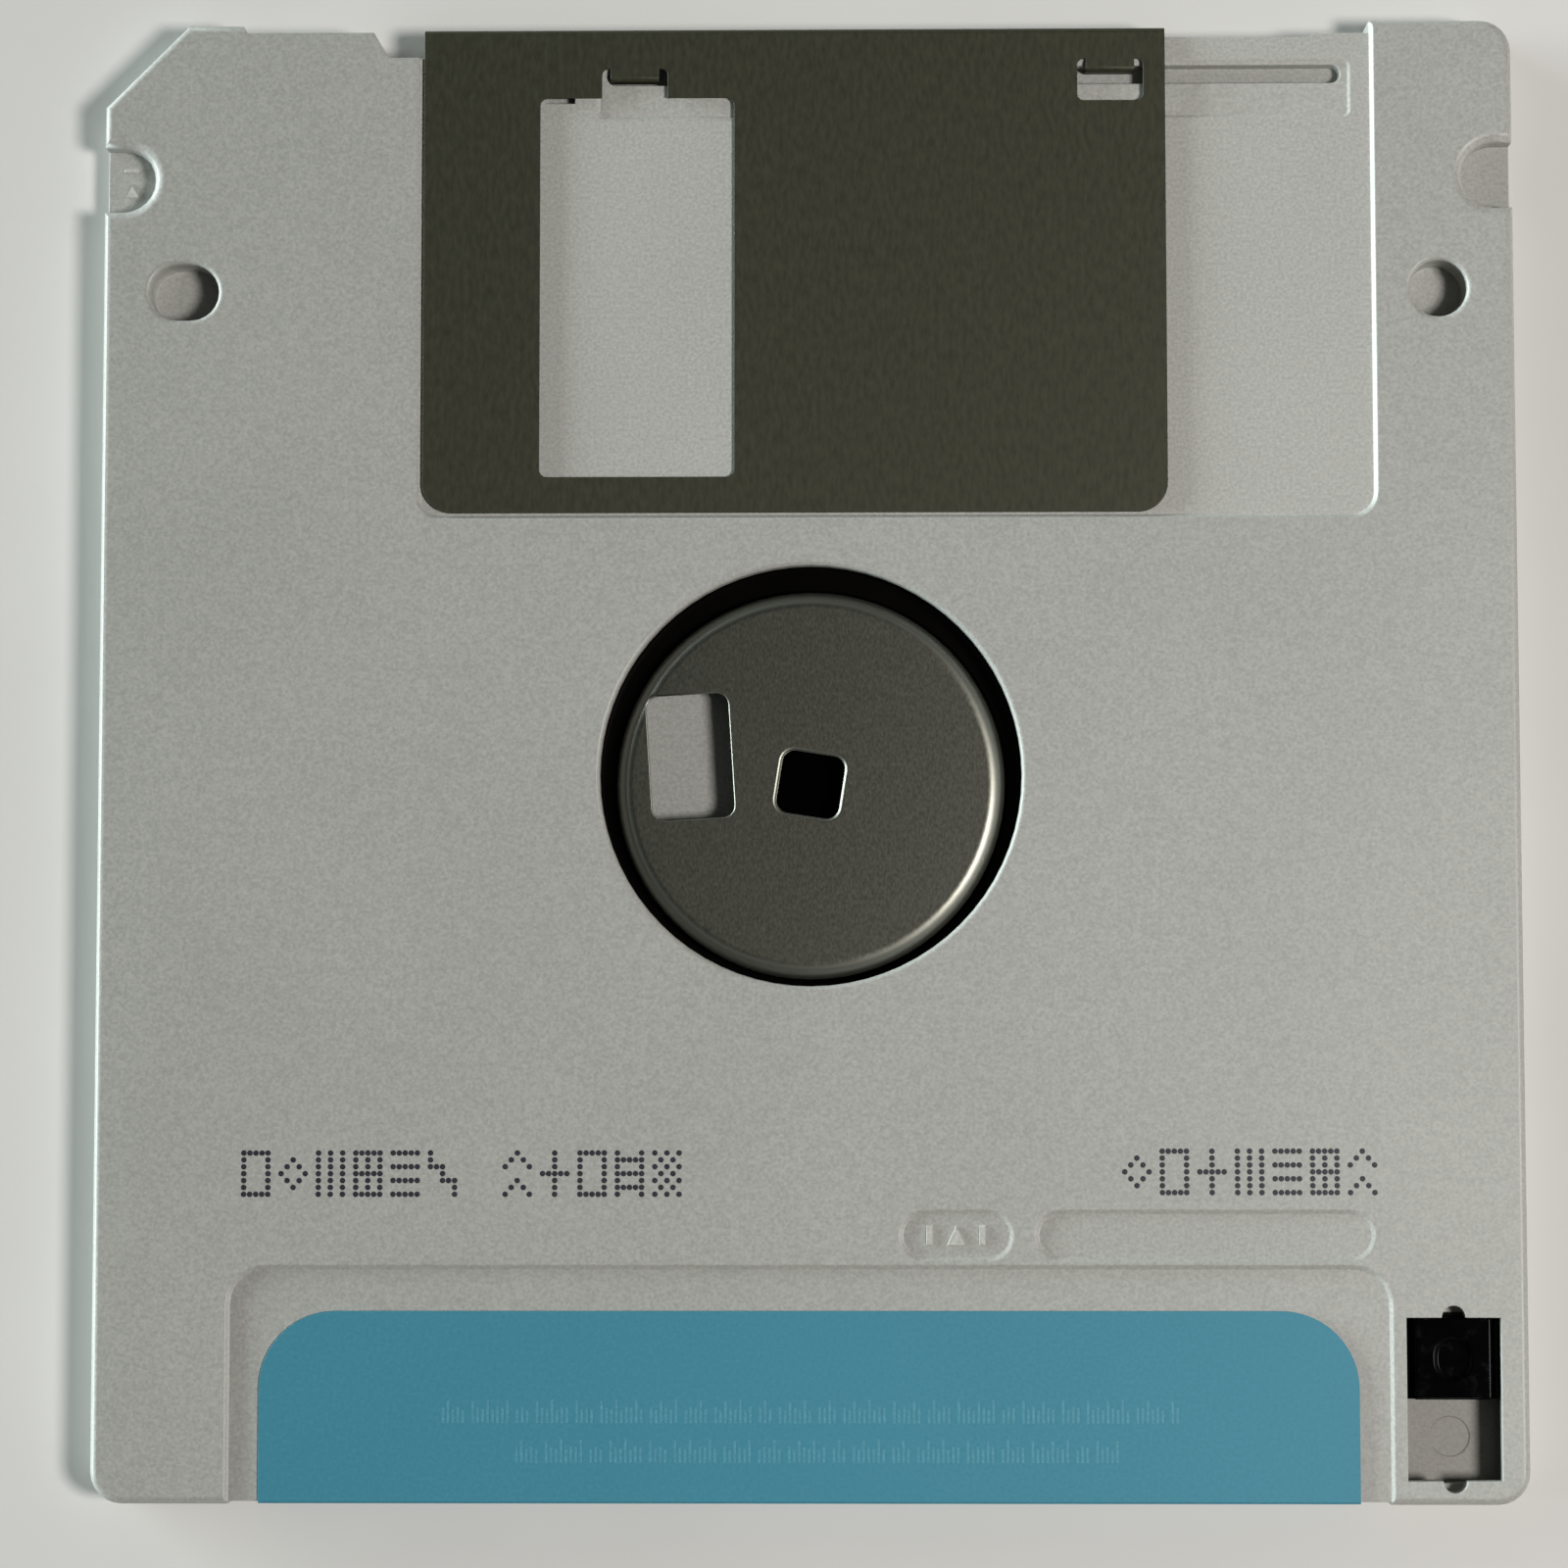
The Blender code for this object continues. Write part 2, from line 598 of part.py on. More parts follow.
def case_outline():
    return filleted([
        (-SIDE_X, TRAILING_Y, CASE_CORNER_RADIUS),
        (SIDE_X, TRAILING_Y, CASE_CORNER_RADIUS),
        (SIDE_X, LEADING_Y, CASE_CORNER_RADIUS),
        (-SIDE_X + CASE_CHAMFER, LEADING_Y, 0.0),
        (-SIDE_X, LEADING_Y - CASE_CHAMFER, 0.0),
    ])


def leading_edge_cutter(name):
    """Sets the leading edge back where the shutter runs, with the drive lever's notch beside it."""
    guide_y = LEADING_Y - GUIDE_EDGE_SETBACK
    shutter_y = LEADING_Y - SHUTTER_EDGE_SETBACK
    stop_y = LEADING_Y - STOP_EDGE_SETBACK
    notch_y = LEADING_Y - LEVER_NOTCH_SETBACK
    notch_right = SHUTTER_LEFT_X + LEVER_NOTCH_UNDER
    notch_left = SHUTTER_LEFT_X - LEVER_NOTCH_WIDTH
    stop_left = RECESS_RIGHT_X - STOP_EDGE_WIDTH
    guide_left = -SIDE_X + GUIDE_EDGE_START
    outline = [
        (guide_left - EDGE_STEP_SLOPE, LEADING_Y + CUT),
        (guide_left - EDGE_STEP_SLOPE, LEADING_Y),
        (guide_left, guide_y),
        (notch_left - LEVER_NOTCH_SLOPE, guide_y),
        (notch_left, notch_y),
        (notch_right, notch_y),
        (notch_right, shutter_y),
        (stop_left - STOP_STEP_SLOPE, shutter_y),
        (stop_left, stop_y),
        (RECESS_RIGHT_X, stop_y),
        (RECESS_RIGHT_X, LEADING_Y + CUT),
    ]
    return plate(name, outline, -CUT, CASE_THICKNESS + CUT)


def shutter_recess_cutter(name, side):
    def outline(grow):
        return rounded_rectangle(RECESS_LEFT_X, RECESS_RIGHT_X, RECESS_LOWER_Y, LEADING_Y + 3 * CUT,
                                 RECESS_CORNER_RADIUS, grow)
    return drafted_cutter(name, side, outline, RECESS_DEPTH, RECESS_DRAFT)


def label_recess_cutter(name, side, front_y):
    half_width = LABEL_HALF_WIDTH + LABEL_RECESS_SIDE

    def outline(grow):
        return rounded_rectangle(-half_width, half_width, TRAILING_Y - 3 * CUT, front_y + LABEL_RECESS_END,
                                 LABEL_RECESS_CORNER, grow)
    return drafted_cutter(name, side, outline, LABEL_RECESS_DEPTH, RECESS_DRAFT)


def label_edge_cutter(name):
    """Lets the label pass round the trailing edge without standing proud."""
    half_width = LABEL_HALF_WIDTH + LABEL_RECESS_SIDE
    outline = rounded_rectangle(-half_width, half_width, TRAILING_Y - 3 * CUT,
                                TRAILING_Y + LABEL_RECESS_DEPTH, 0.0, steps=1)
    return plate(name, outline, -CUT, CASE_THICKNESS + CUT)


def head_window_cutter(name):
    half_width = HEAD_WINDOW_WIDTH / 2
    outline = rounded_rectangle(HUB_AXIS_X - half_width, HUB_AXIS_X + half_width,
                                HEAD_WINDOW_BACK_Y, HEAD_WINDOW_FRONT_Y, HEAD_WINDOW_CORNER)
    return plate(name, outline, -CUT, CASE_THICKNESS + CUT)


def weld_points():
    """Centres of the weld pins, one in each corner pocket."""
    back_y = POCKET_BACK_Y + WELD_PIN_INSET
    front_y = LOCATING_Y + WELD_PIN_AHEAD
    slider_wall_x = PROTECT_LEFT_X - PROTECT_CHANNEL_SIDE - CASE_RING_RIB
    locating_x = SIDE_X - LOCATING_SIDE_INSET
    return ((WELD_PIN_INSET - POCKET_X, back_y),
            (slider_wall_x - WELD_PIN_INSET, back_y),
            (WELD_PIN_INSET + WELD_PIN_ASIDE - locating_x, front_y),
            (locating_x - WELD_PIN_ASIDE, front_y))


def pocket_cutter(name, outline, low, high):
    """A corner pocket outside the ring rib, clear of the weld bosses."""
    pocket = plate(name, outline, low, high)
    ring = circle(HUB_AXIS_X, HUB_AXIS_Y, RIB_OUTER_RADIUS)
    cut(pocket, plate(name + "_ring", ring, low - CUT, high + CUT))
    for i, (x, y) in enumerate(weld_points()):
        boss = circle(x, y, WELD_PIN_RADIUS, WELD_BOSS_WALL, TINY_CIRCLE_STEPS)
        cut(pocket, plate(f"{name}_boss_{i}", boss, low - CUT, high + CUT))
    return pocket


def locating_outlines():
    """Sections of the round locating hole and of the slot, as functions of grow."""
    slot_half = LOCATING_SLOT_LENGTH / 2
    left_x = HUB_AXIS_X - (SIDE_X - LOCATING_SIDE_INSET)
    right_x = HUB_AXIS_X + (SIDE_X - LOCATING_SIDE_INSET)

    def round_hole(grow):
        return circle(right_x, LOCATING_Y, LOCATING_HOLE_RADIUS, grow, SMALL_CIRCLE_STEPS)

    def slot(grow):
        return rounded_rectangle(left_x - slot_half, left_x + slot_half,
                                 LOCATING_Y - LOCATING_HOLE_RADIUS, LOCATING_Y + LOCATING_HOLE_RADIUS,
                                 LOCATING_HOLE_RADIUS, grow)
    return round_hole, slot


def corner_pockets(prefix, low, high):
    """Cutters for the four hollow corners between the ring rib and the outer walls."""
    ring_left = HUB_AXIS_X - RIB_OUTER_RADIUS
    ring_right = HUB_AXIS_X + RIB_OUTER_RADIUS
    side_gap = LOCATING_SIDE_INSET - CASE_RING_RIB / 2
    corner = CASE_CORNER_RADIUS / 2
    middle = RIB_OUTER_RADIUS / 2
    back_left = pocket_cutter(prefix + "_back_left", rounded_rectangle(
        -POCKET_X, HUB_AXIS_X - middle, POCKET_BACK_Y, HUB_AXIS_Y - middle, corner), low, high)
    back_right = pocket_cutter(prefix + "_back_right", rounded_rectangle(
        HUB_AXIS_X + middle, POCKET_X, POCKET_BACK_Y, HUB_AXIS_Y - middle, corner), low, high)
    cut(back_right, plate(prefix + "_slider_wall", rounded_rectangle(
        PROTECT_LEFT_X - PROTECT_CHANNEL_SIDE - CASE_RING_RIB, SIDE_X + CUT, TRAILING_Y,
        PROTECT_FRONT_Y + PROTECT_FINGER_RADIUS + CASE_RING_RIB, 0.0, steps=1), low - CUT, high + CUT))
    front_left = pocket_cutter(prefix + "_front_left", rounded_rectangle(
        ring_left + side_gap, HUB_AXIS_X - middle, HUB_AXIS_Y + middle, POCKET_FRONT_Y, corner), low, high)
    front_right = pocket_cutter(prefix + "_front_right", rounded_rectangle(
        HUB_AXIS_X + middle / 2, ring_right - side_gap, HUB_AXIS_Y + middle, POCKET_FRONT_Y, corner),
        low, high)
    for pocket, outline in zip((front_right, front_left), locating_outlines()):
        cut(pocket, plate(pocket.name + "_locating", outline(LOCATING_BOSS_WALL), low - CUT, high + CUT))
    cut(front_right, plate(prefix + "_spring_post", rounded_rectangle(
        SPRING_POST_X, SPRING_POST_X + SPRING_POST_WIDTH, POCKET_FRONT_Y - SPRING_POST_LENGTH,
        POCKET_FRONT_Y + CUT, 0.0, steps=1), low - CUT, high + CUT))
    return [settle(p) for p in (back_left, back_right, front_left, front_right)]


def slider_channel_cutter(name, low, high):
    outline = rounded_rectangle(PROTECT_LEFT_X - PROTECT_CHANNEL_SIDE, PROTECT_RIGHT_X + PROTECT_CHANNEL_SIDE,
                                PROTECT_BACK_Y - PROTECT_CHANNEL_END, PROTECT_FRONT_Y + PROTECT_CHANNEL_END,
                                0.0, steps=1)
    return plate(name, outline, low, high)


def protect_window_cutter(name):
    """The write-protect window, with a half-round finger notch at each end."""
    radius = PROTECT_FINGER_RADIUS
    outline = [(PROTECT_LEFT_X, PROTECT_BACK_Y)]
    outline += arc((PROTECT_X, PROTECT_BACK_Y), radius, 180, 360, 2 * ARC_STEPS)
    outline += [(PROTECT_RIGHT_X, PROTECT_BACK_Y), (PROTECT_RIGHT_X, PROTECT_FRONT_Y)]
    outline += arc((PROTECT_X, PROTECT_FRONT_Y), radius, 0, 180, 2 * ARC_STEPS)
    outline += [(PROTECT_LEFT_X, PROTECT_FRONT_Y)]
    return plate(name, outline, CEILING_Z - CUT / 2, CASE_THICKNESS + CUT)


def handling_notch_cutter(name, sign):
    """A half-round notch in one side edge that leaves the label-side half whole."""
    edge, end = sign * (SIDE_X + 2 * CUT), sign * (SIDE_X - HANDLING_NOTCH_DEPTH)
    middle = LEADING_Y - HANDLING_NOTCH_SETBACK

    def outline(grow):
        return rounded_rectangle(min(edge, end), max(edge, end), middle - HANDLING_NOTCH_RADIUS,
                                 middle + HANDLING_NOTCH_RADIUS, HANDLING_NOTCH_RADIUS, grow)
    return rimmed_cutter(name, "hub", outline, PARTING_Z + CUT, HANDLING_NOTCH_RIM)


def pill_cutter(name, right, length):
    back = LABEL_FRONT_Y + LABEL_RECESS_END + PILL_AHEAD

    def outline(grow):
        return rounded_rectangle(right - length, right, back, back + PILL_WIDTH, PILL_WIDTH / 2, grow)
    return drafted_cutter(name, "hub", outline, PILL_DEPTH, RECESS_DRAFT)


def guide_cutters():
    """The shutter's guide recess and groove, and the small pocket beside them."""
    def recess(grow):
        return rounded_rectangle(GROOVE_LEFT_X - GUIDE_RECESS_END, GROOVE_RIGHT_X + GUIDE_RECESS_END,
                                 GROOVE_Y - GUIDE_RECESS_BEHIND, GROOVE_Y + GUIDE_RECESS_AHEAD,
                                 GUIDE_RECESS_CORNER, grow)

    def groove(grow):
        return rounded_rectangle(GROOVE_LEFT_X, GROOVE_RIGHT_X, GROOVE_Y - GROOVE_WIDTH / 2,
                                 GROOVE_Y + GROOVE_WIDTH / 2, GROOVE_WIDTH / 2, grow)

    depth = RECESS_DEPTH + GUIDE_RECESS_DEPTH
    pocket_left = WINDOW_LEFT_X + ASSEMBLY_POCKET_INSET
    pocket = rounded_rectangle(pocket_left, pocket_left + ASSEMBLY_POCKET_WIDTH,
                               WINDOW_FRONT_Y - ASSEMBLY_POCKET_INSET,
                               WINDOW_FRONT_Y - ASSEMBLY_POCKET_INSET + ASSEMBLY_POCKET_LENGTH, 0.0, steps=1)
    pocket_floor = CASE_THICKNESS - RECESS_DEPTH - ASSEMBLY_POCKET_DEPTH
    return [drafted_cutter("guide_recess", "hub", recess, depth, GUIDE_RECESS_DRAFT),
            drafted_cutter("guide_groove", "hub", groove, GROOVE_FLOOR_DEPTH, GROOVE_RIM),
            plate("assembly_pocket", pocket, pocket_floor, CASE_THICKNESS + CUT)]


def build_hub_side_shell(material):
    low = PARTING_Z + WELD_GAP / 2
    shell = plate("hub_side_shell", case_outline(), low, CASE_THICKNESS, collection=PARTS)
    round_edges(shell, CASE_THICKNESS, CASE_EDGE_RADIUS)
    cut(shell, shutter_recess_cutter("shutter_recess_above", "hub"),
        leading_edge_cutter("leading_edge_above"))
    cut(shell, *guide_cutters())

    cavity = plate("cavity_above", circle(HUB_AXIS_X, HUB_AXIS_Y, CAVITY_RADIUS), low - CUT, CEILING_Z)
    lip_radius = HUB_HOLE_RADIUS + HUB_LIP_WIDTH
    cut(cavity, plate("hub_lip", circle(HUB_AXIS_X, HUB_AXIS_Y, lip_radius), CEILING_Z - HUB_LIP_HEIGHT,
                      CEILING_Z + CUT))
    cut(shell, settle(cavity), *corner_pockets("pocket_above", low - CUT, CEILING_Z))

    def hub_hole(grow):
        return circle(HUB_AXIS_X, HUB_AXIS_Y, HUB_HOLE_RADIUS, grow)

    cut(shell, rimmed_cutter("hub_hole", "hub", hub_hole, PARTING_Z + CUT, HUB_HOLE_RIM_RADIUS))
    cut(shell, head_window_cutter("head_window_above"))
    for i, outline in enumerate(locating_outlines()):
        cut(shell, rimmed_cutter(f"locating_hole_{i}", "hub", outline, PARTING_Z + CUT, LOCATING_RIM_RADIUS))
    cut(shell, handling_notch_cutter("handling_notch_left", -1),
        handling_notch_cutter("handling_notch_right", 1))
    long_right = SIDE_X - PILL_LONG_SIDE
    cut(shell, pill_cutter("pill_long", long_right, PILL_LONG_LENGTH),
        pill_cutter("pill_short", long_right - PILL_LONG_LENGTH - PILL_SPACING, PILL_SHORT_LENGTH))
    cut(shell, label_recess_cutter("label_recess_above", "hub", LABEL_FRONT_Y),
        label_edge_cutter("label_edge_above"))
    cut(shell, protect_window_cutter("protect_window"),
        slider_channel_cutter("slider_channel_above", low - CUT, CEILING_Z))
    for i, (x, y) in enumerate(weld_points()):
        socket = circle(x, y, WELD_PIN_RADIUS, WELD_PIN_CLEARANCE, TINY_CIRCLE_STEPS)
        cut(shell, plate(f"weld_socket_{i}", socket, low - CUT, low + WELD_SOCKET_DEPTH))
    return finish(shell, material)


def build_label_side_shell(material):
    high = PARTING_Z - WELD_GAP / 2
    shell = plate("label_side_shell", case_outline(), 0.0, high, collection=PARTS)
    round_edges(shell, 0.0, CASE_EDGE_RADIUS)
    cut(shell, leading_edge_cutter("leading_edge_below"),
        shutter_recess_cutter("shutter_recess_below", "label"))
    cut(shell, plate("cavity_below", circle(HUB_AXIS_X, HUB_AXIS_Y, CAVITY_RADIUS), FLOOR_Z, high + CUT))
    cut(shell, *corner_pockets("pocket_below", FLOOR_Z, high + CUT))
    cut(shell, head_window_cutter("head_window_below"))
    channel = rounded_rectangle(CHANNEL_LEFT_X, CHANNEL_RIGHT_X, POCKET_FRONT_Y - CUT / 2, LEADING_Y + CUT,
                                0.0, steps=1)
    cut(shell, plate("spring_channel", channel, FLOOR_Z, high + CUT))
    for i, outline in enumerate(locating_outlines()):
        cut(shell, plate(f"locating_floor_{i}", outline(0.0), FLOOR_Z, high + CUT))
    cut(shell, label_recess_cutter("label_recess_below", "label", LABEL_UNDER_FRONT_Y),
        label_edge_cutter("label_edge_below"))
    cut(shell, slider_channel_cutter("slider_channel_below", FLOOR_Z, high + CUT))
    sensor_hole = rounded_rectangle(PROTECT_LEFT_X + SENSOR_HOLE_SIDE, PROTECT_RIGHT_X - SENSOR_HOLE_SIDE,
                                    PROTECT_FRONT_Y - SLIDER_LENGTH + SENSOR_HOLE_END,
                                    PROTECT_FRONT_Y - SENSOR_HOLE_END, SENSOR_HOLE_END)
    cut(shell, plate("sensor_hole", sensor_hole, -CUT, FLOOR_Z + CUT))
    ejector_mark = circle(PROTECT_X, SLIDER_Y - SLIDER_LENGTH / 2 - EJECTOR_MARK_BEHIND, EJECTOR_MARK_RADIUS,
                          steps=SMALL_CIRCLE_STEPS)
    cut(shell, plate("ejector_mark", ejector_mark, FLOOR_Z - EJECTOR_MARK_DEPTH, FLOOR_Z + CUT))
    seat = circle(HUB_AXIS_X, HUB_AXIS_Y, BUTTON_RADIUS, BUTTON_SEAT_GAP, SMALL_CIRCLE_STEPS)
    cut(shell, plate("button_seat", seat, FLOOR_Z - BUTTON_SEAT_DEPTH, FLOOR_Z + CUT))
    gap = LIFTER_POCKET_GAP
    lifter_pocket = rounded_rectangle(LIFTER_LEFT_X - gap, LIFTER_LEFT_X + LIFTER_LENGTH + gap,
                                      LIFTER_Y - LIFTER_WIDTH / 2 - gap, LIFTER_Y + LIFTER_WIDTH / 2 + gap,
                                      gap, steps=3)
    cut(shell, plate("lifter_pocket", lifter_pocket, FLOOR_Z - LIFTER_POCKET_DEPTH, FLOOR_Z + CUT))
    for i, (x, y) in enumerate(weld_points()):
        pin = circle(x, y, WELD_PIN_RADIUS, steps=TINY_CIRCLE_STEPS)
        tip_z = high + WELD_GAP + WELD_SOCKET_DEPTH - WELD_PIN_TIP_GAP
        join(shell, plate(f"weld_pin_{i}", pin, high - CUT / 4, tip_z))
    return finish(shell, material)


# Shutter and its spring

def corner_trim(name, x, y, radius, toward, low, high):
    """Removes what lies outside a rounded corner at (x, y); toward gives the sheet's inner quadrant."""
    side_x, side_y = toward
    centre = (x + side_x * radius, y + side_y * radius)
    start = math.degrees(math.atan2(0, -side_x))
    end = math.degrees(math.atan2(-side_y, 0))
    if abs(end - start) > 180:
        start = -start
    rounding = arc(centre, radius, start, end, 2 * ARC_STEPS)
    outline = rounding + [(centre[0], y - side_y * CUT), (x - side_x * CUT, y - side_y * CUT),
                          (x - side_x * CUT, centre[1])]
    return plate(name, outline, low, high)


def guide_tab(name, centre_x, leg_y):
    """A tongue of the sheet that bends down into the guide groove."""
    sheet_z = CASE_THICKNESS - SHUTTER_SHEET_DEPTH
    tip_z = CASE_THICKNESS - GROOVE_FLOOR_DEPTH + TAB_TIP_GAP
    root_y = leg_y + TAB_RELIEF_LENGTH + 2 * SHUTTER_THICKNESS
    path = [(root_y, sheet_z), (leg_y, sheet_z), (leg_y, tip_z)]
    outline = folded_sheet_outline(path, [TAB_BEND_RADIUS], SHUTTER_THICKNESS)
    return strip(name, outline, centre_x - TAB_WIDTH / 2, centre_x + TAB_WIDTH / 2)


def tab_opening(name, centre_x, back_y, leg_y):
    """The hole that a tongue was bent from, with a relief slit at each side of the bend."""
    half = TAB_WIDTH / 2 + TAB_RELIEF
    outline = rounded_rectangle(centre_x - half, centre_x + half, back_y, leg_y + TAB_RELIEF_LENGTH,
                                TAB_HOLE_CORNER, steps=3)
    return plate(name, outline, PARTING_Z, CASE_THICKNESS + CUT)


def spring_flap(name):
    """A flap bent in from the fold, which the spring pushes on."""
    path = [(FLAP_X + 3 * SHUTTER_THICKNESS, SHUTTER_FOLD_Y), (FLAP_X, SHUTTER_FOLD_Y),
            (FLAP_X, SHUTTER_FOLD_Y - FLAP_LENGTH)]
    outline = folded_sheet_outline(path, [FLAP_BEND_RADIUS], SHUTTER_THICKNESS)
    return plate(name, outline, FLAP_Z - FLAP_HEIGHT / 2, FLAP_Z + FLAP_HEIGHT / 2)


def build_shutter(material):
    top_z = CASE_THICKNESS - SHUTTER_SHEET_DEPTH
    bottom_z = SHUTTER_SHEET_DEPTH
    path = [(SHUTTER_LOWER_Y, top_z), (SHUTTER_FOLD_Y, top_z), (SHUTTER_FOLD_Y, bottom_z),
            (SHUTTER_LOWER_Y, bottom_z)]
    outline = folded_sheet_outline(path, [SHUTTER_FOLD_RADIUS] * 2, SHUTTER_THICKNESS)
    shutter = strip("shutter", outline, SHUTTER_LEFT_X, SHUTTER_RIGHT_X, PARTS)
    low, high = -CUT, CASE_THICKNESS + CUT
    window = rounded_rectangle(WINDOW_LEFT_X, WINDOW_RIGHT_X, WINDOW_BACK_Y, WINDOW_FRONT_Y,
                               SHUTTER_WINDOW_CORNER)
    cut(shutter,
        corner_trim("shutter_corner_left", SHUTTER_LEFT_X, SHUTTER_LOWER_Y, SHUTTER_CORNER_RADIUS,
                    (1, 1), low, high),
        corner_trim("shutter_corner_right", SHUTTER_RIGHT_X, SHUTTER_LOWER_Y, SHUTTER_CORNER_RADIUS,
                    (-1, 1), low, high),
        plate("shutter_window", window, low, high))
    tab_one_y = GROOVE_Y - TAB_SPREAD
    tab_two_y = GROOVE_Y + TAB_SPREAD
    hole_one_y = WINDOW_FRONT_Y - TAB_HOLE_CORNER - SHUTTER_THICKNESS
    hole_two_y = tab_two_y + TAB_RELIEF_LENGTH - TAB_HOLE_LENGTH
    cut(shutter, tab_opening("tab_opening_one", TAB_ONE_X, hole_one_y, tab_one_y),
        tab_opening("tab_opening_two", TAB_TWO_X, hole_two_y, tab_two_y))
    join(shutter, guide_tab("guide_tab_one", TAB_ONE_X, tab_one_y),
         guide_tab("guide_tab_two", TAB_TWO_X, tab_two_y))
    flap_hole = rounded_rectangle(FLAP_X - FLAP_LENGTH, FLAP_X + FLAP_BEND_RADIUS, SHUTTER_FOLD_Y - CUT,
                                  SHUTTER_FOLD_Y + CUT, 0.0, steps=1)
    flap_reach = FLAP_HEIGHT / 2 + FLAP_GAP
    cut(shutter, plate("flap_hole", flap_hole, FLAP_Z - flap_reach, FLAP_Z + flap_reach))
    join(shutter, spring_flap("spring_flap"))
    return finish(shutter, material, (SHUTTER_LEFT_X, SHUTTER_FOLD_Y, PARTING_Z))


def spring_path():
    """Points of the torsion spring: a leg to the flap, the rising coil, and a leg to its post."""
    wire_radius = SPRING_WIRE / 2
    tip_x = FLAP_X + SHUTTER_THICKNESS / 2 + wire_radius + SPRING_SEAT_GAP
    tip = Vector((tip_x, LEADING_Y - SPRING_TIP_SETBACK))
    centre = Vector((SIDE_X - SPRING_COIL_SIDE, LEADING_Y - SPRING_COIL_SETBACK))
    anchor = Vector((SPRING_POST_X - wire_radius - SPRING_SEAT_GAP, LEADING_Y - SPRING_ANCHOR_SETBACK))
    start = tangent_angle(centre, tip, SPRING_COIL_RADIUS, -1)
    end = tangent_angle(centre, anchor, SPRING_COIL_RADIUS, 1)
    sweep = (end - start) % (2 * math.pi) + 2 * math.pi * SPRING_FULL_TURNS
    count = round(SPRING_POINTS_PER_TURN * sweep / (2 * math.pi))
    rise = SPRING_PITCH * sweep / (2 * math.pi)
    points = [(tip.x, tip.y, FLAP_Z)]
    for i in range(count + 1):
        angle = start + sweep * i / count
        points.append((centre.x + SPRING_COIL_RADIUS * math.cos(angle),
                       centre.y + SPRING_COIL_RADIUS * math.sin(angle), FLAP_Z + rise * i / count))
    points.append((anchor.x, anchor.y, FLAP_Z + rise))
    return points


def tangent_angle(centre, outside, radius, turn):
    """Angle of the circle point whose tangent reaches a point outside."""
    spoke = outside - centre
    return math.atan2(spoke.y, spoke.x) + turn * math.acos(radius / spoke.length)


def build_shutter_spring(material):
    curve = bpy.data.curves.new("shutter_spring", "CURVE")
    curve.dimensions = "3D"
    curve.bevel_depth = SPRING_WIRE / 2
    curve.bevel_resolution = 2
    curve.use_fill_caps = True
    points = spring_path()
    spline = curve.splines.new("POLY")
    spline.points.add(len(points) - 1)
    for point, place in zip(spline.points, points):
        point.co = (*place, 1)
    curve.materials.append(material)
    return mesh_object("shutter_spring", curve, PARTS)


# Magnetic disk with its hub, around the spindle axis

def build_magnetic_disk(material, axis):
    disk = plate("magnetic_disk", circle(0, 0, MEDIUM_DIAMETER / 2, steps=MEDIUM_STEPS), MEDIUM_Z,
                 MEDIUM_Z + MEDIUM_THICKNESS, [circle(0, 0, MEDIUM_BORE)], PARTS)
    finish(disk, material)
    disk.parent = axis
    return disk


def build_adhesive_ring(material, axis):
    ring = plate("hub_adhesive_ring", circle(0, 0, HUB_FLANGE_OUTER - ADHESIVE_MARGIN), ADHESIVE_Z,
                 ADHESIVE_Z + ADHESIVE_THICKNESS, [circle(0, 0, MEDIUM_BORE + ADHESIVE_MARGIN)], PARTS)
    finish(ring, material)
    ring.parent = axis
    return ring


def build_hub_plate(material, axis):
    """The drawn cup: flange, side wall and chucking face, with the spindle square and the pin hole."""
    half_sheet = HUB_SHEET / 2
    bore = SPINDLE_SQUARE / 4
    corner_inner = HUB_CUP_RADIUS - half_sheet
    path = [Vector((HUB_FLANGE_OUTER, FLANGE_Z + half_sheet)), Vector((corner_inner, FLANGE_Z + half_sheet)),
            Vector((corner_inner, HUB_FACE_Z - half_sheet)), Vector((bore, HUB_FACE_Z - half_sheet))]
    bends = [HUB_FLANGE_BEND_RADIUS - half_sheet, HUB_SHOULDER_RADIUS - half_sheet]
    profile = folded_sheet_outline(path, bends, HUB_SHEET)
    hub = turned("hub_plate", profile, CIRCLE_STEPS)

    half = SPINDLE_SQUARE / 2
    turn_square = Matrix.Rotation(math.radians(SPINDLE_SQUARE_TURN), 4, "Z")
    sections = []
    for i in range(RIM_STEPS + 1):
        angle = math.pi / 2 * i / RIM_STEPS
        grow = SPINDLE_SQUARE_FLARE * (1 - math.cos(angle))
        height = HUB_FACE_Z - SPINDLE_SQUARE_FLARE * (1 - math.sin(angle))
        sections.append((rounded_rectangle(-half, half, -half, half, SPINDLE_SQUARE_CORNER, grow), height))
    sections.insert(0, (sections[0][0], HUB_FACE_Z - HUB_SHEET - CUT))
    sections.append((sections[-1][0], HUB_FACE_Z + CUT))
    square = loft("spindle_square", sections)
    square.data.transform(turn_square)

    pin_outline = rounded_rectangle(-PIN_HOLE_WIDTH / 2, PIN_HOLE_WIDTH / 2, -PIN_HOLE_LENGTH / 2,
                                    PIN_HOLE_LENGTH / 2, PIN_HOLE_CORNER)
    pin_hole = plate("pin_hole", pin_outline, HUB_FACE_Z - HUB_SHEET - CUT / 2, HUB_FACE_Z + CUT)
    pin_hole.data.transform(Matrix.Translation((-PIN_HOLE_OUT, PIN_HOLE_AHEAD, 0))
                            @ Matrix.Rotation(math.radians(PIN_HOLE_TURN), 4, "Z"))
    cut(hub, square, pin_hole)
    finish(hub, material)
    hub.parent = axis
    return hub


# Pieces inside the case

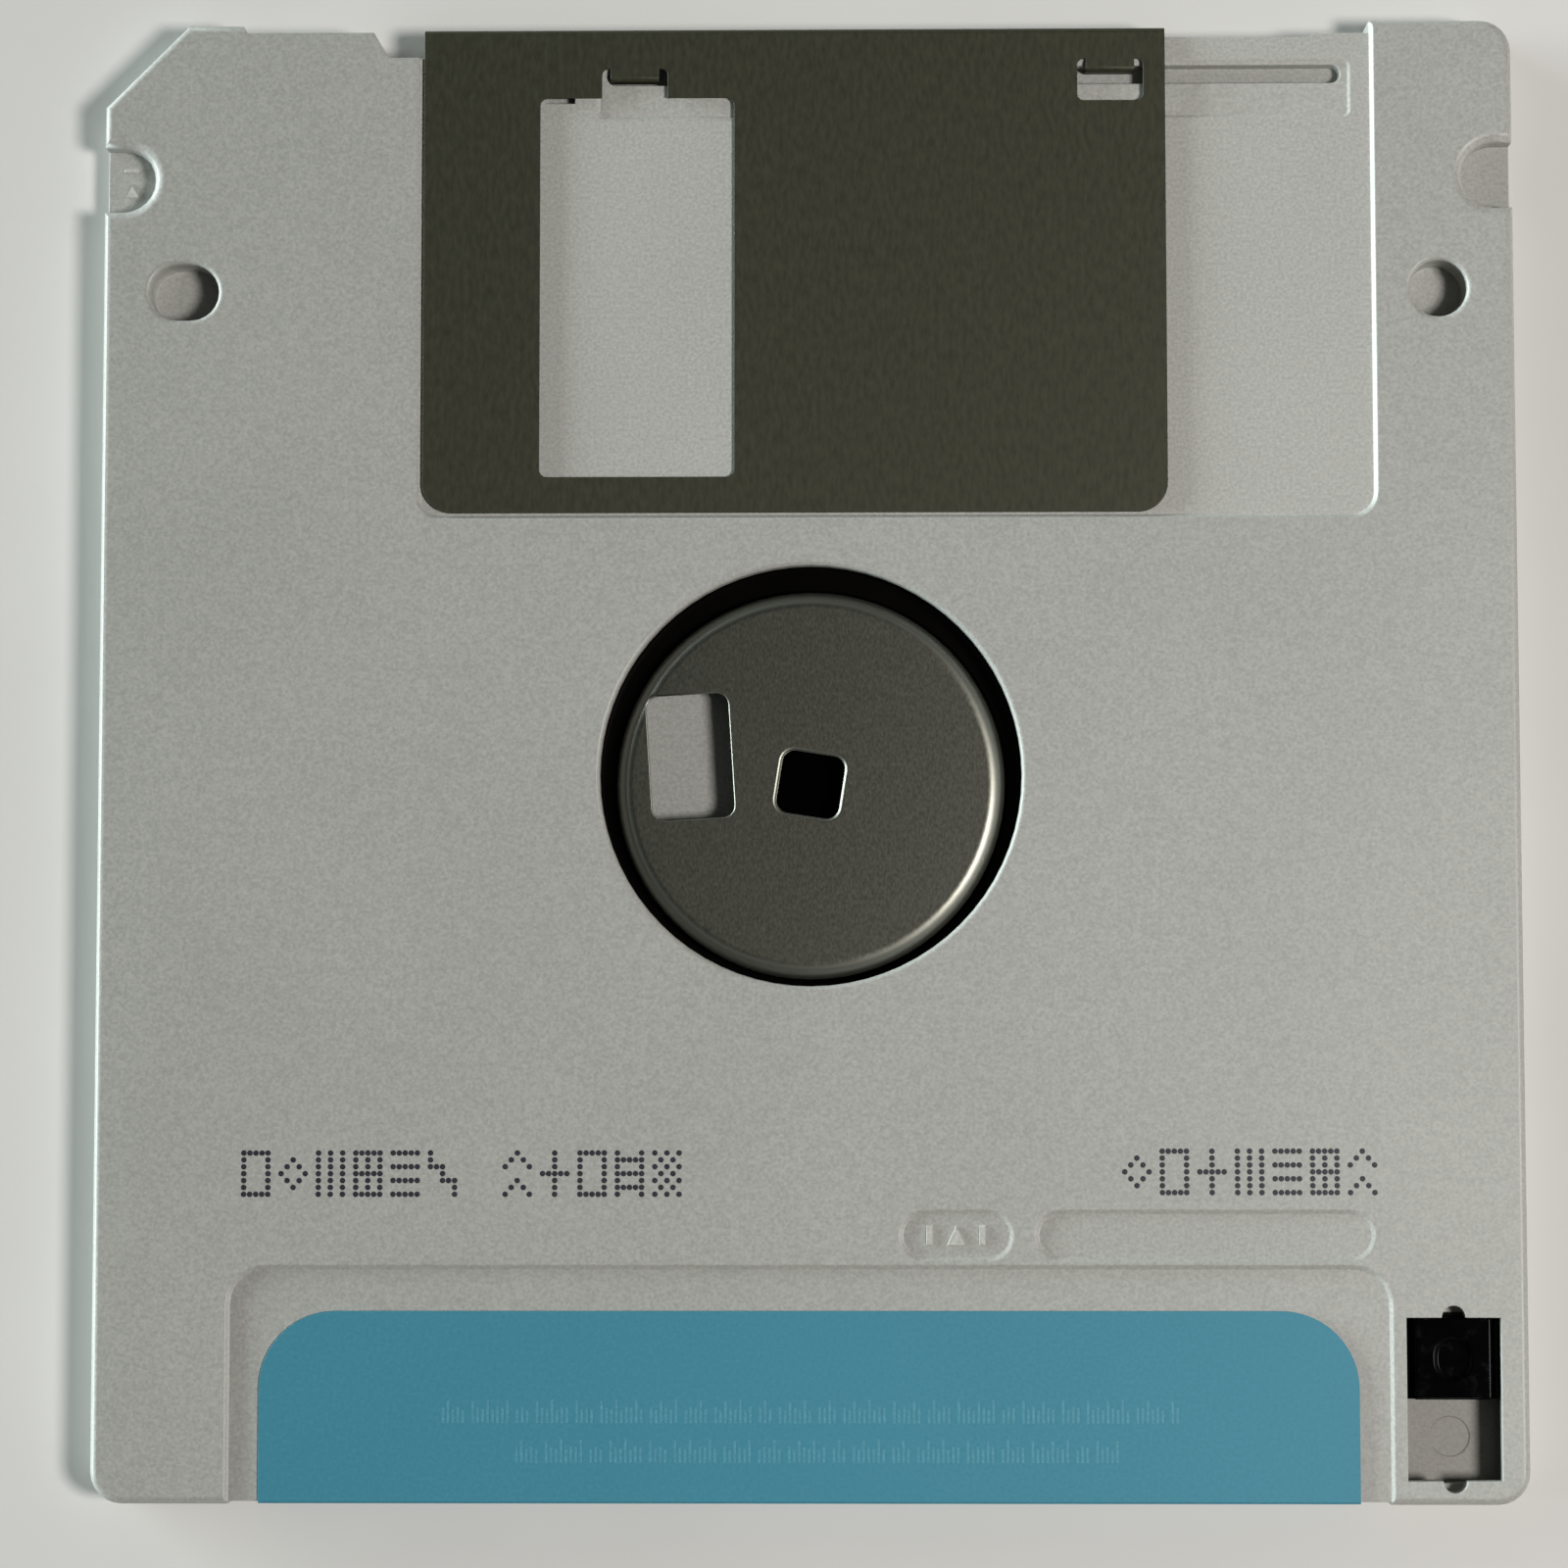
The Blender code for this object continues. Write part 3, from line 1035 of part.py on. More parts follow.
def build_liner(name, material, low, bore):
    """A fabric ring with a slot at the head window."""
    liner = plate(name, circle(HUB_AXIS_X, HUB_AXIS_Y, LINER_RADIUS), low, low + LINER_THICKNESS,
                  [circle(HUB_AXIS_X, HUB_AXIS_Y, bore)], PARTS)
    half = HEAD_WINDOW_WIDTH / 2 + LINER_SLOT_MARGIN
    slot = rounded_rectangle(HUB_AXIS_X - half, HUB_AXIS_X + half, HEAD_WINDOW_BACK_Y - LINER_SLOT_MARGIN,
                             LEADING_Y, LINER_SLOT_MARGIN)
    cut(liner, plate(name + "_slot", slot, low - CUT, low + CUT))
    return finish(liner, material)


def build_liner_lifter(material):
    """A plastic strip, flat at its fixed end and rising towards the liner at the other."""
    seat_z = FLOOR_Z - LIFTER_POCKET_DEPTH + BOND_GAP + LIFTER_THICKNESS / 2
    tip_z = FLOOR_Z + BOND_GAP - LIFTER_LINER_GAP - LIFTER_THICKNESS / 2
    left, half = LIFTER_LEFT_X, LIFTER_WIDTH / 2
    path = [(left, seat_z), (left + LIFTER_FLAT, seat_z), (left + LIFTER_LENGTH, tip_z)]
    outline = folded_sheet_outline(path, [LIFTER_FLAT / 2], LIFTER_THICKNESS)
    mesh = flat_mesh("liner_lifter", outline, -LIFTER_Y - half, -LIFTER_Y + half, ())
    mesh.transform(Matrix.Rotation(math.pi / 2, 4, "X"))
    return finish(mesh_object("liner_lifter", mesh, PARTS), material)


def build_wear_button(material):
    low = FLOOR_Z - BUTTON_SEAT_DEPTH + BOND_GAP
    high = low + BUTTON_HEIGHT
    outline = circle(HUB_AXIS_X, HUB_AXIS_Y, BUTTON_RADIUS, steps=SMALL_CIRCLE_STEPS)
    button = plate("wear_button", outline, low, high, collection=PARTS)
    round_edges(button, high, BUTTON_EDGE, 2)
    return finish(button, material)


def build_write_protect_slider(material):
    """A base that fills the channel, a raised ridge that fills the window, and a dish for a fingertip."""
    low = FLOOR_Z + SLIDER_FACE_GAP
    base_top = CEILING_Z - SLIDER_FACE_GAP
    ridge_top = CASE_THICKNESS - SLIDER_RIDGE_INSET
    back, front = SLIDER_Y - SLIDER_LENGTH / 2, SLIDER_Y + SLIDER_LENGTH / 2
    base_half = PROTECT_WINDOW_WIDTH / 2 + PROTECT_CHANNEL_SIDE - SLIDER_SIDE_GAP
    ridge_half = SLIDER_RIDGE_WIDTH / 2
    section = [(PROTECT_X - base_half, low), (PROTECT_X + base_half, low), (PROTECT_X + base_half, base_top),
               (PROTECT_X + ridge_half, base_top), (PROTECT_X + ridge_half, ridge_top),
               (PROTECT_X - ridge_half, ridge_top), (PROTECT_X - ridge_half, base_top),
               (PROTECT_X - base_half, base_top)]
    mesh = flat_mesh("write_protect_slider", section, -front, -back, ())
    mesh.transform(Matrix.Rotation(math.pi / 2, 4, "X"))
    slider = mesh_object("write_protect_slider", mesh, PARTS)
    round_edges(slider, ridge_top, SLIDER_EDGE, 2)
    dish_half_width, dish_half_length = SLIDER_DISH_WIDTH / 2, SLIDER_DISH_LENGTH / 2

    def dish(grow):
        return rounded_rectangle(PROTECT_X - dish_half_width, PROTECT_X + dish_half_width,
                                 SLIDER_Y - dish_half_length, SLIDER_Y + dish_half_length,
                                 dish_half_width, grow)

    depth = SLIDER_DISH_DEPTH
    cut(slider, loft("slider_dish", [(dish(-depth), ridge_top - depth), (dish(depth), ridge_top + depth)]))
    return finish(slider, material, (PROTECT_X, SLIDER_Y, PARTING_Z))


def build_label(material):
    """One sheet that lies in both recesses and wraps the trailing edge."""
    top_z = CASE_THICKNESS - LABEL_INSET - LABEL_THICKNESS / 2
    bottom_z = LABEL_INSET + LABEL_THICKNESS / 2
    fold_y = TRAILING_Y + LABEL_INSET + LABEL_THICKNESS / 2
    path = [(LABEL_FRONT_Y, top_z), (fold_y, top_z), (fold_y, bottom_z), (LABEL_UNDER_FRONT_Y, bottom_z)]
    outline = folded_sheet_outline(path, [LABEL_FOLD_RADIUS] * 2, LABEL_THICKNESS)
    label = strip("label", outline, -LABEL_HALF_WIDTH, LABEL_HALF_WIDTH, PARTS)
    for side, front_y, low, high in (("above", LABEL_FRONT_Y, PARTING_Z, CASE_THICKNESS + CUT),
                                     ("below", LABEL_UNDER_FRONT_Y, -CUT, PARTING_Z)):
        for hand, x in ((1, -LABEL_HALF_WIDTH), (-1, LABEL_HALF_WIDTH)):
            cut(label, corner_trim(f"label_corner_{side}_{hand}", x, front_y, LABEL_CORNER_RADIUS,
                                   (hand, -1), low, high))
    return finish(label, material)


def main():
    case_plastic = new_material("case_plastic", (0.40, 0.41, 0.38), 0.5)
    shutter_metal = new_material("shutter_metal", (0.045, 0.042, 0.028), 0.45, 0.6)
    spring_steel = new_material("spring_steel", (0.55, 0.55, 0.55), 0.3, 1.0)
    medium_film = new_material("medium_film", (0.02, 0.014, 0.01), 0.3)
    hub_steel = new_material("hub_steel", (0.12, 0.12, 0.10), 0.35, 0.9)
    adhesive = new_material("adhesive", (0.6, 0.55, 0.4), 0.5)
    liner_fabric = new_material("liner_fabric", (0.75, 0.75, 0.72), 0.95)
    lifter_film = new_material("lifter_film", (0.6, 0.62, 0.62), 0.3)
    black_plastic = new_material("black_plastic", (0.008, 0.008, 0.009), 0.25)
    label_paper = new_material("label_paper", (0.06, 0.25, 0.35), 0.6)

    spindle_axis = bpy.data.objects.new("spindle_axis", None)
    spindle_axis.location = (HUB_AXIS_X, DISK_Y, 0.0)
    PARTS.objects.link(spindle_axis)

    build_hub_side_shell(case_plastic)
    build_label_side_shell(case_plastic)
    build_shutter(shutter_metal)
    build_shutter_spring(spring_steel)
    build_magnetic_disk(medium_film, spindle_axis)
    build_hub_plate(hub_steel, spindle_axis)
    build_adhesive_ring(adhesive, spindle_axis)
    build_liner("hub_side_liner", liner_fabric, CEILING_Z - BOND_GAP - LINER_THICKNESS,
                HUB_HOLE_RADIUS + HUB_LIP_WIDTH + LINER_BORE_GAP)
    build_liner("label_side_liner", liner_fabric, FLOOR_Z + BOND_GAP,
                HUB_FLANGE_OUTER + HUB_FLOAT + LINER_BORE_GAP)
    build_liner_lifter(lifter_film)
    build_wear_button(black_plastic)
    build_write_protect_slider(black_plastic)
    build_label(label_paper)


main()
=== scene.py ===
"""Looks of a 3.5-inch micro floppy disk: rounded skins, finishes, print, marks, light and camera."""

import math

import bmesh
import bpy
from mathutils import Euler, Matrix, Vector


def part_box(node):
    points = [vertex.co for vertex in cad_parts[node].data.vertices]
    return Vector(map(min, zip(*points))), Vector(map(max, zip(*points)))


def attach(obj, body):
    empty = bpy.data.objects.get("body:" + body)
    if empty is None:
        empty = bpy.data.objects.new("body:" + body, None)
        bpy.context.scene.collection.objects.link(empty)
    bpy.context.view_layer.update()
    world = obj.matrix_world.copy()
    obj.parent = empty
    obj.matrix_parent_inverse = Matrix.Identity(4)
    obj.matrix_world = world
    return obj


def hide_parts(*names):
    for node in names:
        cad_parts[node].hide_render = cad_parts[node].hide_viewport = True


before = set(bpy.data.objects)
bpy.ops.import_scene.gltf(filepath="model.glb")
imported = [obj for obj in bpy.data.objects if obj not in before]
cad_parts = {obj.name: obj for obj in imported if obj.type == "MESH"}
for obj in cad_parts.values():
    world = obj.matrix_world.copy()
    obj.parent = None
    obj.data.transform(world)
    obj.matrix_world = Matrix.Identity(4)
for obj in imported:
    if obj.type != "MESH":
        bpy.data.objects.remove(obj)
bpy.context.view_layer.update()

MM = 0.001

# Heights of the surfaces that carry print and marks
FACE_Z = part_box("hub_side_shell")[1].z
LABEL_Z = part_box("label")[1].z
PILL_FLOOR_Z = FACE_Z - 0.15 * MM
NOTCH_FLOOR_Z = 1.64 * MM

# The shutter's recess, whose floor is paler than the face: painted light, lifting the floor out of the
# shade that the shutter and the recess walls cast
RECESS_CENTRE = (5.5 * MM, 31.0 * MM, FACE_Z - 0.28 * MM)
RECESS_REACH = (65.0 * MM, 34.0 * MM, 0.36 * MM)
RECESS_PAINTED_LIGHT = (1.14, 1.14, 1.14)

# The write-protect pocket, whose floor is painted darker than the face: painted shade in the pocket
POCKET_CENTRE = (40.3 * MM, -40.45 * MM, 0.95 * MM)
POCKET_REACH = (6.0 * MM, 10.0 * MM, 1.2 * MM)
POCKET_PAINTED_SHADE = (0.63, 0.60, 0.57)

# How deep in those ellipsoids the tint starts and is full: 0 is the surface and 1 the centre
TINT_START = 0.22
TINT_FULL = 0.34

# Skins: the nodes' own forms, with their sharp edges rounded
WELD_DISTANCE = 0.002 * MM
FLAT_ANGLE = math.radians(0.3)
SHARP_ANGLE = math.radians(32)
GENTLE_ANGLE = math.radians(24)
WIDE_FACE = 1.0 * MM * MM
LEVEL = 0.9995
SKIN_SEGMENTS = 2
NORMAL_WEIGHT = 50

# Dot print
DOT_DIAMETER = 0.36 * MM
DOT_HEIGHT = 0.006 * MM
DOT_SINK = 0.004 * MM
DOT_SIDES = 12
DOME_SHARE = 0.7
DOT_COLUMN_PITCH = 0.38 * MM
DOT_ROW_PITCH = 0.43 * MM
DOT_CELL_PITCH = 2.35 * MM
LEFT_PRINT = (-35.45 * MM, -27.72 * MM)
RIGHT_PRINT = (19.85 * MM, -27.62 * MM)

# Faint print on the label: two rows of short strokes, each given by its left, right and base
STROKE_WIDTH = 0.16 * MM
STROKE_PITCH = 0.31 * MM
STROKE_THICKNESS = 0.004 * MM
STROKE_SINK = 0.004 * MM
LABEL_ROWS = ((-22.9 * MM, 23.3 * MM, -41.95 * MM), (-18.3 * MM, 19.6 * MM, -44.4 * MM))
STROKE_HEIGHTS_MM = (0.95, 1.40, 0.85, 1.00, 0.80, 1.35, 0.95, 0.85, 1.45, 0.80, 1.00)
WORD_LENGTHS = (5, 8, 3, 7, 4, 9, 6)

# Raised marks of the mould: shape, left, base, width and length in mm
PILL_MARKS = (("bar", 7.40, -30.95, 0.42, 1.35),
              ("triangle", 8.65, -30.95, 1.25, 1.3),
              ("bar", 10.70, -30.95, 0.42, 1.35))
PILL_MARK_RISE = 0.10 * MM
PILL_MARK_TAPER = 0.12 * MM
NOTCH_MARKS = (("bar", -44.0, 37.75, 0.95, 0.25),
               ("triangle", -43.95, 36.1, 0.9, 0.9))
NOTCH_MARK_RISE = 0.12 * MM
NOTCH_MARK_TAPER = 0.08 * MM
MARK_SINK = 0.03 * MM

# Camera fitted to the photograph, which is square
SENSOR = 36.0
LENS = 87.75
CLIP_START = 0.01
CAMERA_PLACE = (2.09 * MM, -18.97 * MM, 244.08 * MM)
CAMERA_TURN = (0.0706, 0.01486, -0.00064)

# Walls and ceiling; each rise is the sine of an angle above the horizon
WORLD_COLOUR = (0.95, 1.0, 0.93)
WALL_STRENGTH = 0.45
WALL_RISE = math.sin(math.radians(9))
CEILING_STRENGTH = 0.045
CEILING_RISE = math.sin(math.radians(18))

# The key light, above and to the right, and the low window at the left
KEY_PLACE = (0.31, -0.075, 0.45)
KEY_SIZE = 0.14
KEY_POWER = 2.38
KEY_COLOUR = (1.0, 0.97, 0.94)
LOW_DISTANCE = 1.6
LOW_AZIMUTH = math.radians(165)
LOW_ELEVATION = math.radians(6)
LOW_SIZE = (1.5, 0.2)
LOW_POWER = 60.0
LOW_COLOUR = (0.87, 0.99, 1.0)

# The floor, just below the disk
FLOOR_HALF_WIDTH = 1.5
FLOOR_CLEARANCE = 0.02 * MM
FLOOR_DARK = (0.69, 0.68, 0.66)
FLOOR_LIGHT = (0.73, 0.72, 0.70)


# Node materials

WHITE = (1.0, 1.0, 1.0)
NEAR_BLACK = (0.02, 0.02, 0.02)

# Noise mostly stays between these two values
NOISE_LOW = 0.3
NOISE_HIGH = 0.7
NOISE_ROUGHNESS = 0.55

# Height of a unit normal where the surface starts to lean, and where it leans in full
LEAN_START = 0.99
LEAN_FULL = 0.93


def new_material(name):
    """A material, its node tree and its shader."""
    material = bpy.data.materials.new(name)
    material.use_nodes = True
    return material, material.node_tree, shader_of(material)


def shader_of(material):
    return material.node_tree.nodes["Principled BSDF"]


def source_of(socket):
    return socket.links[0].from_socket


def object_place(tree):
    return tree.nodes.new("ShaderNodeTexCoord").outputs["Object"]


def height_of(tree, vector):
    split = tree.nodes.new("ShaderNodeSeparateXYZ")
    tree.links.new(vector, split.inputs["Vector"])
    return split.outputs["Z"]


def noise(tree, place, size, detail=2.0, stretch=(1.0, 1.0, 1.0)):
    """Noise whose features are about size metres across, stretched along an axis by a small factor."""
    mapping = tree.nodes.new("ShaderNodeMapping")
    mapping.inputs["Scale"].default_value = stretch
    tree.links.new(place, mapping.inputs["Vector"])
    texture = tree.nodes.new("ShaderNodeTexNoise")
    texture.inputs["Scale"].default_value = 1.0 / size
    texture.inputs["Detail"].default_value = detail
    texture.inputs["Roughness"].default_value = NOISE_ROUGHNESS
    tree.links.new(mapping.outputs["Vector"], texture.inputs["Vector"])
    return texture.outputs["Fac"]


def ramp(tree, factor, *stops):
    """Colours along a factor, between two stops of the form (position, (r, g, b))."""
    node = tree.nodes.new("ShaderNodeValToRGB")
    for element, (position, colour) in zip(node.color_ramp.elements, stops):
        element.position = position
        element.color = (*colour, 1.0)
    tree.links.new(factor, node.inputs["Fac"])
    return node.outputs["Color"]


def tinted(colour, factor):
    return tuple(min(channel * factor, 1.0) for channel in colour)


def mottled(tree, factor, colour, darkest, lightest, low=NOISE_LOW, high=NOISE_HIGH):
    """The colour times darkest where the factor is low, and times lightest where it is high."""
    return ramp(tree, factor, (low, tinted(colour, darkest)), (high, tinted(colour, lightest)))


def remapped(tree, value, from_low, from_high, to_low=0.0, to_high=1.0):
    node = tree.nodes.new("ShaderNodeMapRange")
    node.inputs["From Min"].default_value = from_low
    node.inputs["From Max"].default_value = from_high
    node.inputs["To Min"].default_value = to_low
    node.inputs["To Max"].default_value = to_high
    tree.links.new(value, node.inputs["Value"])
    return node.outputs["Result"]


def multiplied(tree, first, second):
    node = tree.nodes.new("ShaderNodeMix")
    node.data_type = "RGBA"
    node.blend_type = "MULTIPLY"
    node.inputs["Factor"].default_value = 1.0
    tree.links.new(first, node.inputs["A"])
    tree.links.new(second, node.inputs["B"])
    return node.outputs["Result"]


def blended(tree, kind, factor, first, second):
    """Between a linked value and a constant, of kind FLOAT or RGBA."""
    node = tree.nodes.new("ShaderNodeMix")
    node.data_type = kind
    suffix = "Float" if kind == "FLOAT" else "Color"
    inputs = {socket.identifier: socket for socket in node.inputs}
    outputs = {socket.identifier: socket for socket in node.outputs}
    tree.links.new(factor, inputs["Factor_Float"])
    tree.links.new(first, inputs["A_" + suffix])
    inputs["B_" + suffix].default_value = second
    return outputs["Result_" + suffix]


def set_colour(tree, shader, colour):
    tree.links.new(colour, shader.inputs["Base Color"])


def set_roughness(tree, shader, factor, low, high):
    """Roughness that follows noise between low and high."""
    tree.links.new(remapped(tree, factor, NOISE_LOW, NOISE_HIGH, low, high), shader.inputs["Roughness"])


def set_bump(tree, shader, height, distance, strength=0.5):
    node = tree.nodes.new("ShaderNodeBump")
    node.inputs["Strength"].default_value = strength
    node.inputs["Distance"].default_value = distance
    tree.links.new(height, node.inputs["Height"])
    tree.links.new(node.outputs["Normal"], shader.inputs["Normal"])


def moulded_plastic(name, colour, roughness):
    """Matte plastic from a spark-eroded mould: a fine speckle and a faint cloudiness."""
    material, tree, shader = new_material(name)
    shader.inputs["Specular IOR Level"].default_value = 0.62
    place = object_place(tree)
    grain = 0.2 * MM
    speckle = noise(tree, place, grain, detail=3.0)
    clouds = noise(tree, place, 14 * MM)
    pits = noise(tree, place, grain * 0.7)
    fine = mottled(tree, speckle, colour, darkest=0.87, lightest=1.13, low=0.32, high=0.68)
    broad = mottled(tree, clouds, WHITE, darkest=0.965, lightest=1.0, low=0.35, high=0.65)
    set_colour(tree, shader, multiplied(tree, fine, broad))
    set_roughness(tree, shader, speckle, roughness - 0.06, roughness + 0.06)
    set_bump(tree, shader, pits, 0.006 * MM)
    return material


def toned_within(material, centre, reach, tint):
    """The material with its colour multiplied by the tint inside an ellipsoid."""
    tree = material.node_tree
    mapping = tree.nodes.new("ShaderNodeMapping")
    mapping.vector_type = "TEXTURE"
    mapping.inputs["Location"].default_value = centre
    mapping.inputs["Scale"].default_value = reach
    tree.links.new(object_place(tree), mapping.inputs["Vector"])
    depth = tree.nodes.new("ShaderNodeTexGradient")
    depth.gradient_type = "SPHERICAL"
    tree.links.new(mapping.outputs["Vector"], depth.inputs["Vector"])
    shade = ramp(tree, depth.outputs["Fac"], (TINT_START, WHITE), (TINT_FULL, tint))
    shader = shader_of(material)
    plain = source_of(shader.inputs["Base Color"])
    set_colour(tree, shader, multiplied(tree, plain, shade))
    return material


def coated_metal(name, colour, roughness, metallic):
    """Dark coated sheet, rolled along Y, with a few pale specks."""
    material, tree, shader = new_material(name)
    shader.inputs["Metallic"].default_value = metallic
    place = object_place(tree)
    grain = noise(tree, place, 0.3 * MM, detail=3.0, stretch=(1.0, 0.35, 1.0))
    tone = mottled(tree, grain, colour, darkest=0.86, lightest=1.16)
    specks = tree.nodes.new("ShaderNodeTexVoronoi")
    speck_pitch = 6.5 * MM
    specks.inputs["Scale"].default_value = 1.0 / speck_pitch
    tree.links.new(place, specks.inputs["Vector"])
    speck_share = 0.012
    speck_tint = (3.0, 3.0, 2.6)
    pale = ramp(tree, specks.outputs["Distance"], (0.0, speck_tint), (speck_share, WHITE))
    set_colour(tree, shader, multiplied(tree, tone, pale))
    set_roughness(tree, shader, grain, roughness - 0.05, roughness + 0.07)
    set_bump(tree, shader, grain, 0.003 * MM)
    return material


def satin_steel(name, colour, roughness, grain, stretch=(1.0, 1.0, 1.0)):
    """Drawn or rolled steel with a fine speckle."""
    material, tree, shader = new_material(name)
    shader.inputs["Metallic"].default_value = 1.0
    fine = noise(tree, object_place(tree), grain, detail=3.0, stretch=stretch)
    set_colour(tree, shader, mottled(tree, fine, colour, darkest=0.88, lightest=1.12))
    set_roughness(tree, shader, fine, roughness - 0.02, roughness + 0.03)
    set_bump(tree, shader, fine, 0.002 * MM)
    return material


def drawn_hub_steel(name, colour, roughness, bend_painted_highlight, bend_roughness, painted_shade_low, painted_shade_high):
    """Satin steel, duller where it bends with a lighter tone there as painted highlight, and near black
    low down as painted shade in the gap round the hub.
    """
    material = satin_steel(name, colour, roughness, 0.14 * MM, stretch=(1.0, 0.5, 1.0))
    tree = material.node_tree
    shader = shader_of(material)
    normal = tree.nodes.new("ShaderNodeNewGeometry").outputs["Normal"]
    lean = remapped(tree, height_of(tree, normal), LEAN_START, LEAN_FULL)
    flat_tone = source_of(shader.inputs["Base Color"])
    flat_roughness = source_of(shader.inputs["Roughness"])
    # Painted highlight: a lighter tone where the surface leans, which widens the shoulder's highlight
    tone = blended(tree, "RGBA", lean, flat_tone, (*bend_painted_highlight, 1.0))
    # Painted shade: near black low down, where the gap round the hub lies in shade
    rise = remapped(tree, height_of(tree, object_place(tree)), painted_shade_low, painted_shade_high)
    shade = ramp(tree, rise, (0.0, NEAR_BLACK), (1.0, WHITE))
    set_colour(tree, shader, multiplied(tree, tone, shade))
    dulled = blended(tree, "FLOAT", lean, flat_roughness, bend_roughness)
    tree.links.new(dulled, shader.inputs["Roughness"])
    return material


def coated_film(name, colour, roughness):
    """Smooth coated film with a faint unevenness."""
    material, tree, shader = new_material(name)
    shader.inputs["Specular IOR Level"].default_value = 0.14
    clouds = noise(tree, object_place(tree), 9 * MM)
    set_colour(tree, shader, mottled(tree, clouds, colour, darkest=0.8, lightest=1.25))
    set_roughness(tree, shader, clouds, roughness - 0.04, roughness + 0.04)
    return material


def fabric(name, colour):
    """Non-woven fabric: matted fibres."""
    material, tree, shader = new_material(name)
    shader.inputs["Roughness"].default_value = 0.95
    fibres = noise(tree, object_place(tree), 0.35 * MM, detail=6.0, stretch=(1.0, 0.3, 1.0))
    set_colour(tree, shader, mottled(tree, fibres, colour, darkest=0.8, lightest=1.1))
    set_bump(tree, shader, fibres, 0.05 * MM, strength=1.0)
    return material


def label_paper(name, colour):
    """Coated paper with an even tint, faint fibres and a slight sheen."""
    material, tree, shader = new_material(name)
    shader.inputs["Specular IOR Level"].default_value = 0.35
    place = object_place(tree)
    fibres = noise(tree, place, 0.25 * MM, detail=4.0)
    clouds = noise(tree, place, 11 * MM)
    fine = mottled(tree, fibres, colour, darkest=0.93, lightest=1.07)
    faded = (0.96, 0.97, 0.98)
    broad = ramp(tree, clouds, (0.35, faded), (0.65, WHITE))
    set_colour(tree, shader, multiplied(tree, fine, broad))
    set_roughness(tree, shader, fibres, 0.46, 0.56)
    set_bump(tree, shader, fibres, 0.003 * MM, strength=0.4)
    return material


def gloss_plastic(name, colour, roughness, specular, dust):
    """Glossy black moulding with faint patches of dust, which multiplies the colour."""
    material, tree, shader = new_material(name)
    shader.inputs["Specular IOR Level"].default_value = specular
    patches = noise(tree, object_place(tree), 0.9 * MM, detail=6.0)
    dusted = mottled(tree, patches, colour, darkest=1.0, lightest=dust, low=0.57, high=0.74)
    set_colour(tree, shader, dusted)
    set_roughness(tree, shader, patches, roughness - 0.02, roughness + 0.03)
    return material


def print_ink(name, colour, thin):
    """Ink whose cover varies a little; where it is thin, its colour is multiplied."""
    material, tree, shader = new_material(name)
    patches = noise(tree, object_place(tree), 0.2 * MM, detail=3.0)
    cover = mottled(tree, patches, colour, darkest=1.0, lightest=thin, low=0.4, high=0.75)
    set_colour(tree, shader, cover)
    set_roughness(tree, shader, patches, 0.45, 0.6)
    return material


CASE_COLOUR = (0.383, 0.383, 0.358)
CASE_ROUGHNESS = 0.45
# Painted light: the mould marks are a lighter tone than the case, standing in for the light their
# raised edges catch
MARK_PAINTED_LIGHT_COLOUR = tinted(CASE_COLOUR, 1.3)
LINER_COLOUR = (0.75, 0.75, 0.72)


def case_plastic(name, centre, reach, tint):
    """The plastic of one case half, with its floor toned inside an ellipsoid: painted light in the
    upper half's recess, painted shade in the lower half's pocket.
    """
    return toned_within(moulded_plastic(name, CASE_COLOUR, CASE_ROUGHNESS), centre, reach, tint)


# Painted light on the recess floor of the upper half
CASE_PLASTIC = case_plastic("case_plastic_finish", RECESS_CENTRE, RECESS_REACH, RECESS_PAINTED_LIGHT)
# Painted shade on the pocket floor of the lower half
LOWER_CASE_PLASTIC = case_plastic("lower_case_plastic_finish", POCKET_CENTRE, POCKET_REACH, POCKET_PAINTED_SHADE)
SHUTTER_METAL = coated_metal("shutter_metal_finish", (0.037, 0.037, 0.020), roughness=0.5, metallic=0.3)
# Hub steel with a painted highlight on its shoulder and painted shade low down
HUB_STEEL = drawn_hub_steel("hub_steel_finish", (0.178, 0.178, 0.148), roughness=0.35,
                            bend_painted_highlight=(0.29, 0.29, 0.255), bend_roughness=0.46,
                            painted_shade_low=1.55 * MM, painted_shade_high=2.0 * MM)
BUTTON_BLACK = gloss_plastic("button_finish", (0.0003, 0.0003, 0.0003), roughness=0.2,
                             specular=0.05, dust=2.0)
SLIDER_BLACK = gloss_plastic("slider_finish", (0.0004, 0.00045, 0.0006), roughness=0.18,
                             specular=0.06, dust=16.0)
LABEL_PAPER = label_paper("label_paper_finish", (0.048, 0.238, 0.325))

HIDDEN_FINISHES = {
    "shutter_spring": satin_steel("spring_steel_finish", (0.62, 0.62, 0.62), roughness=0.28,
                                  grain=0.15 * MM),
    "magnetic_disk": coated_film("medium_film_finish", (0.0014, 0.0011, 0.0009), roughness=0.20),
    "hub_adhesive_ring": moulded_plastic("adhesive_finish", (0.02, 0.018, 0.013), roughness=0.5),
    "hub_side_liner": fabric("liner_fabric_finish", LINER_COLOUR),
    "label_side_liner": fabric("lower_liner_fabric_finish", LINER_COLOUR),
    "liner_lifter": moulded_plastic("lifter_film_finish", (0.6, 0.62, 0.62), roughness=0.3),
}

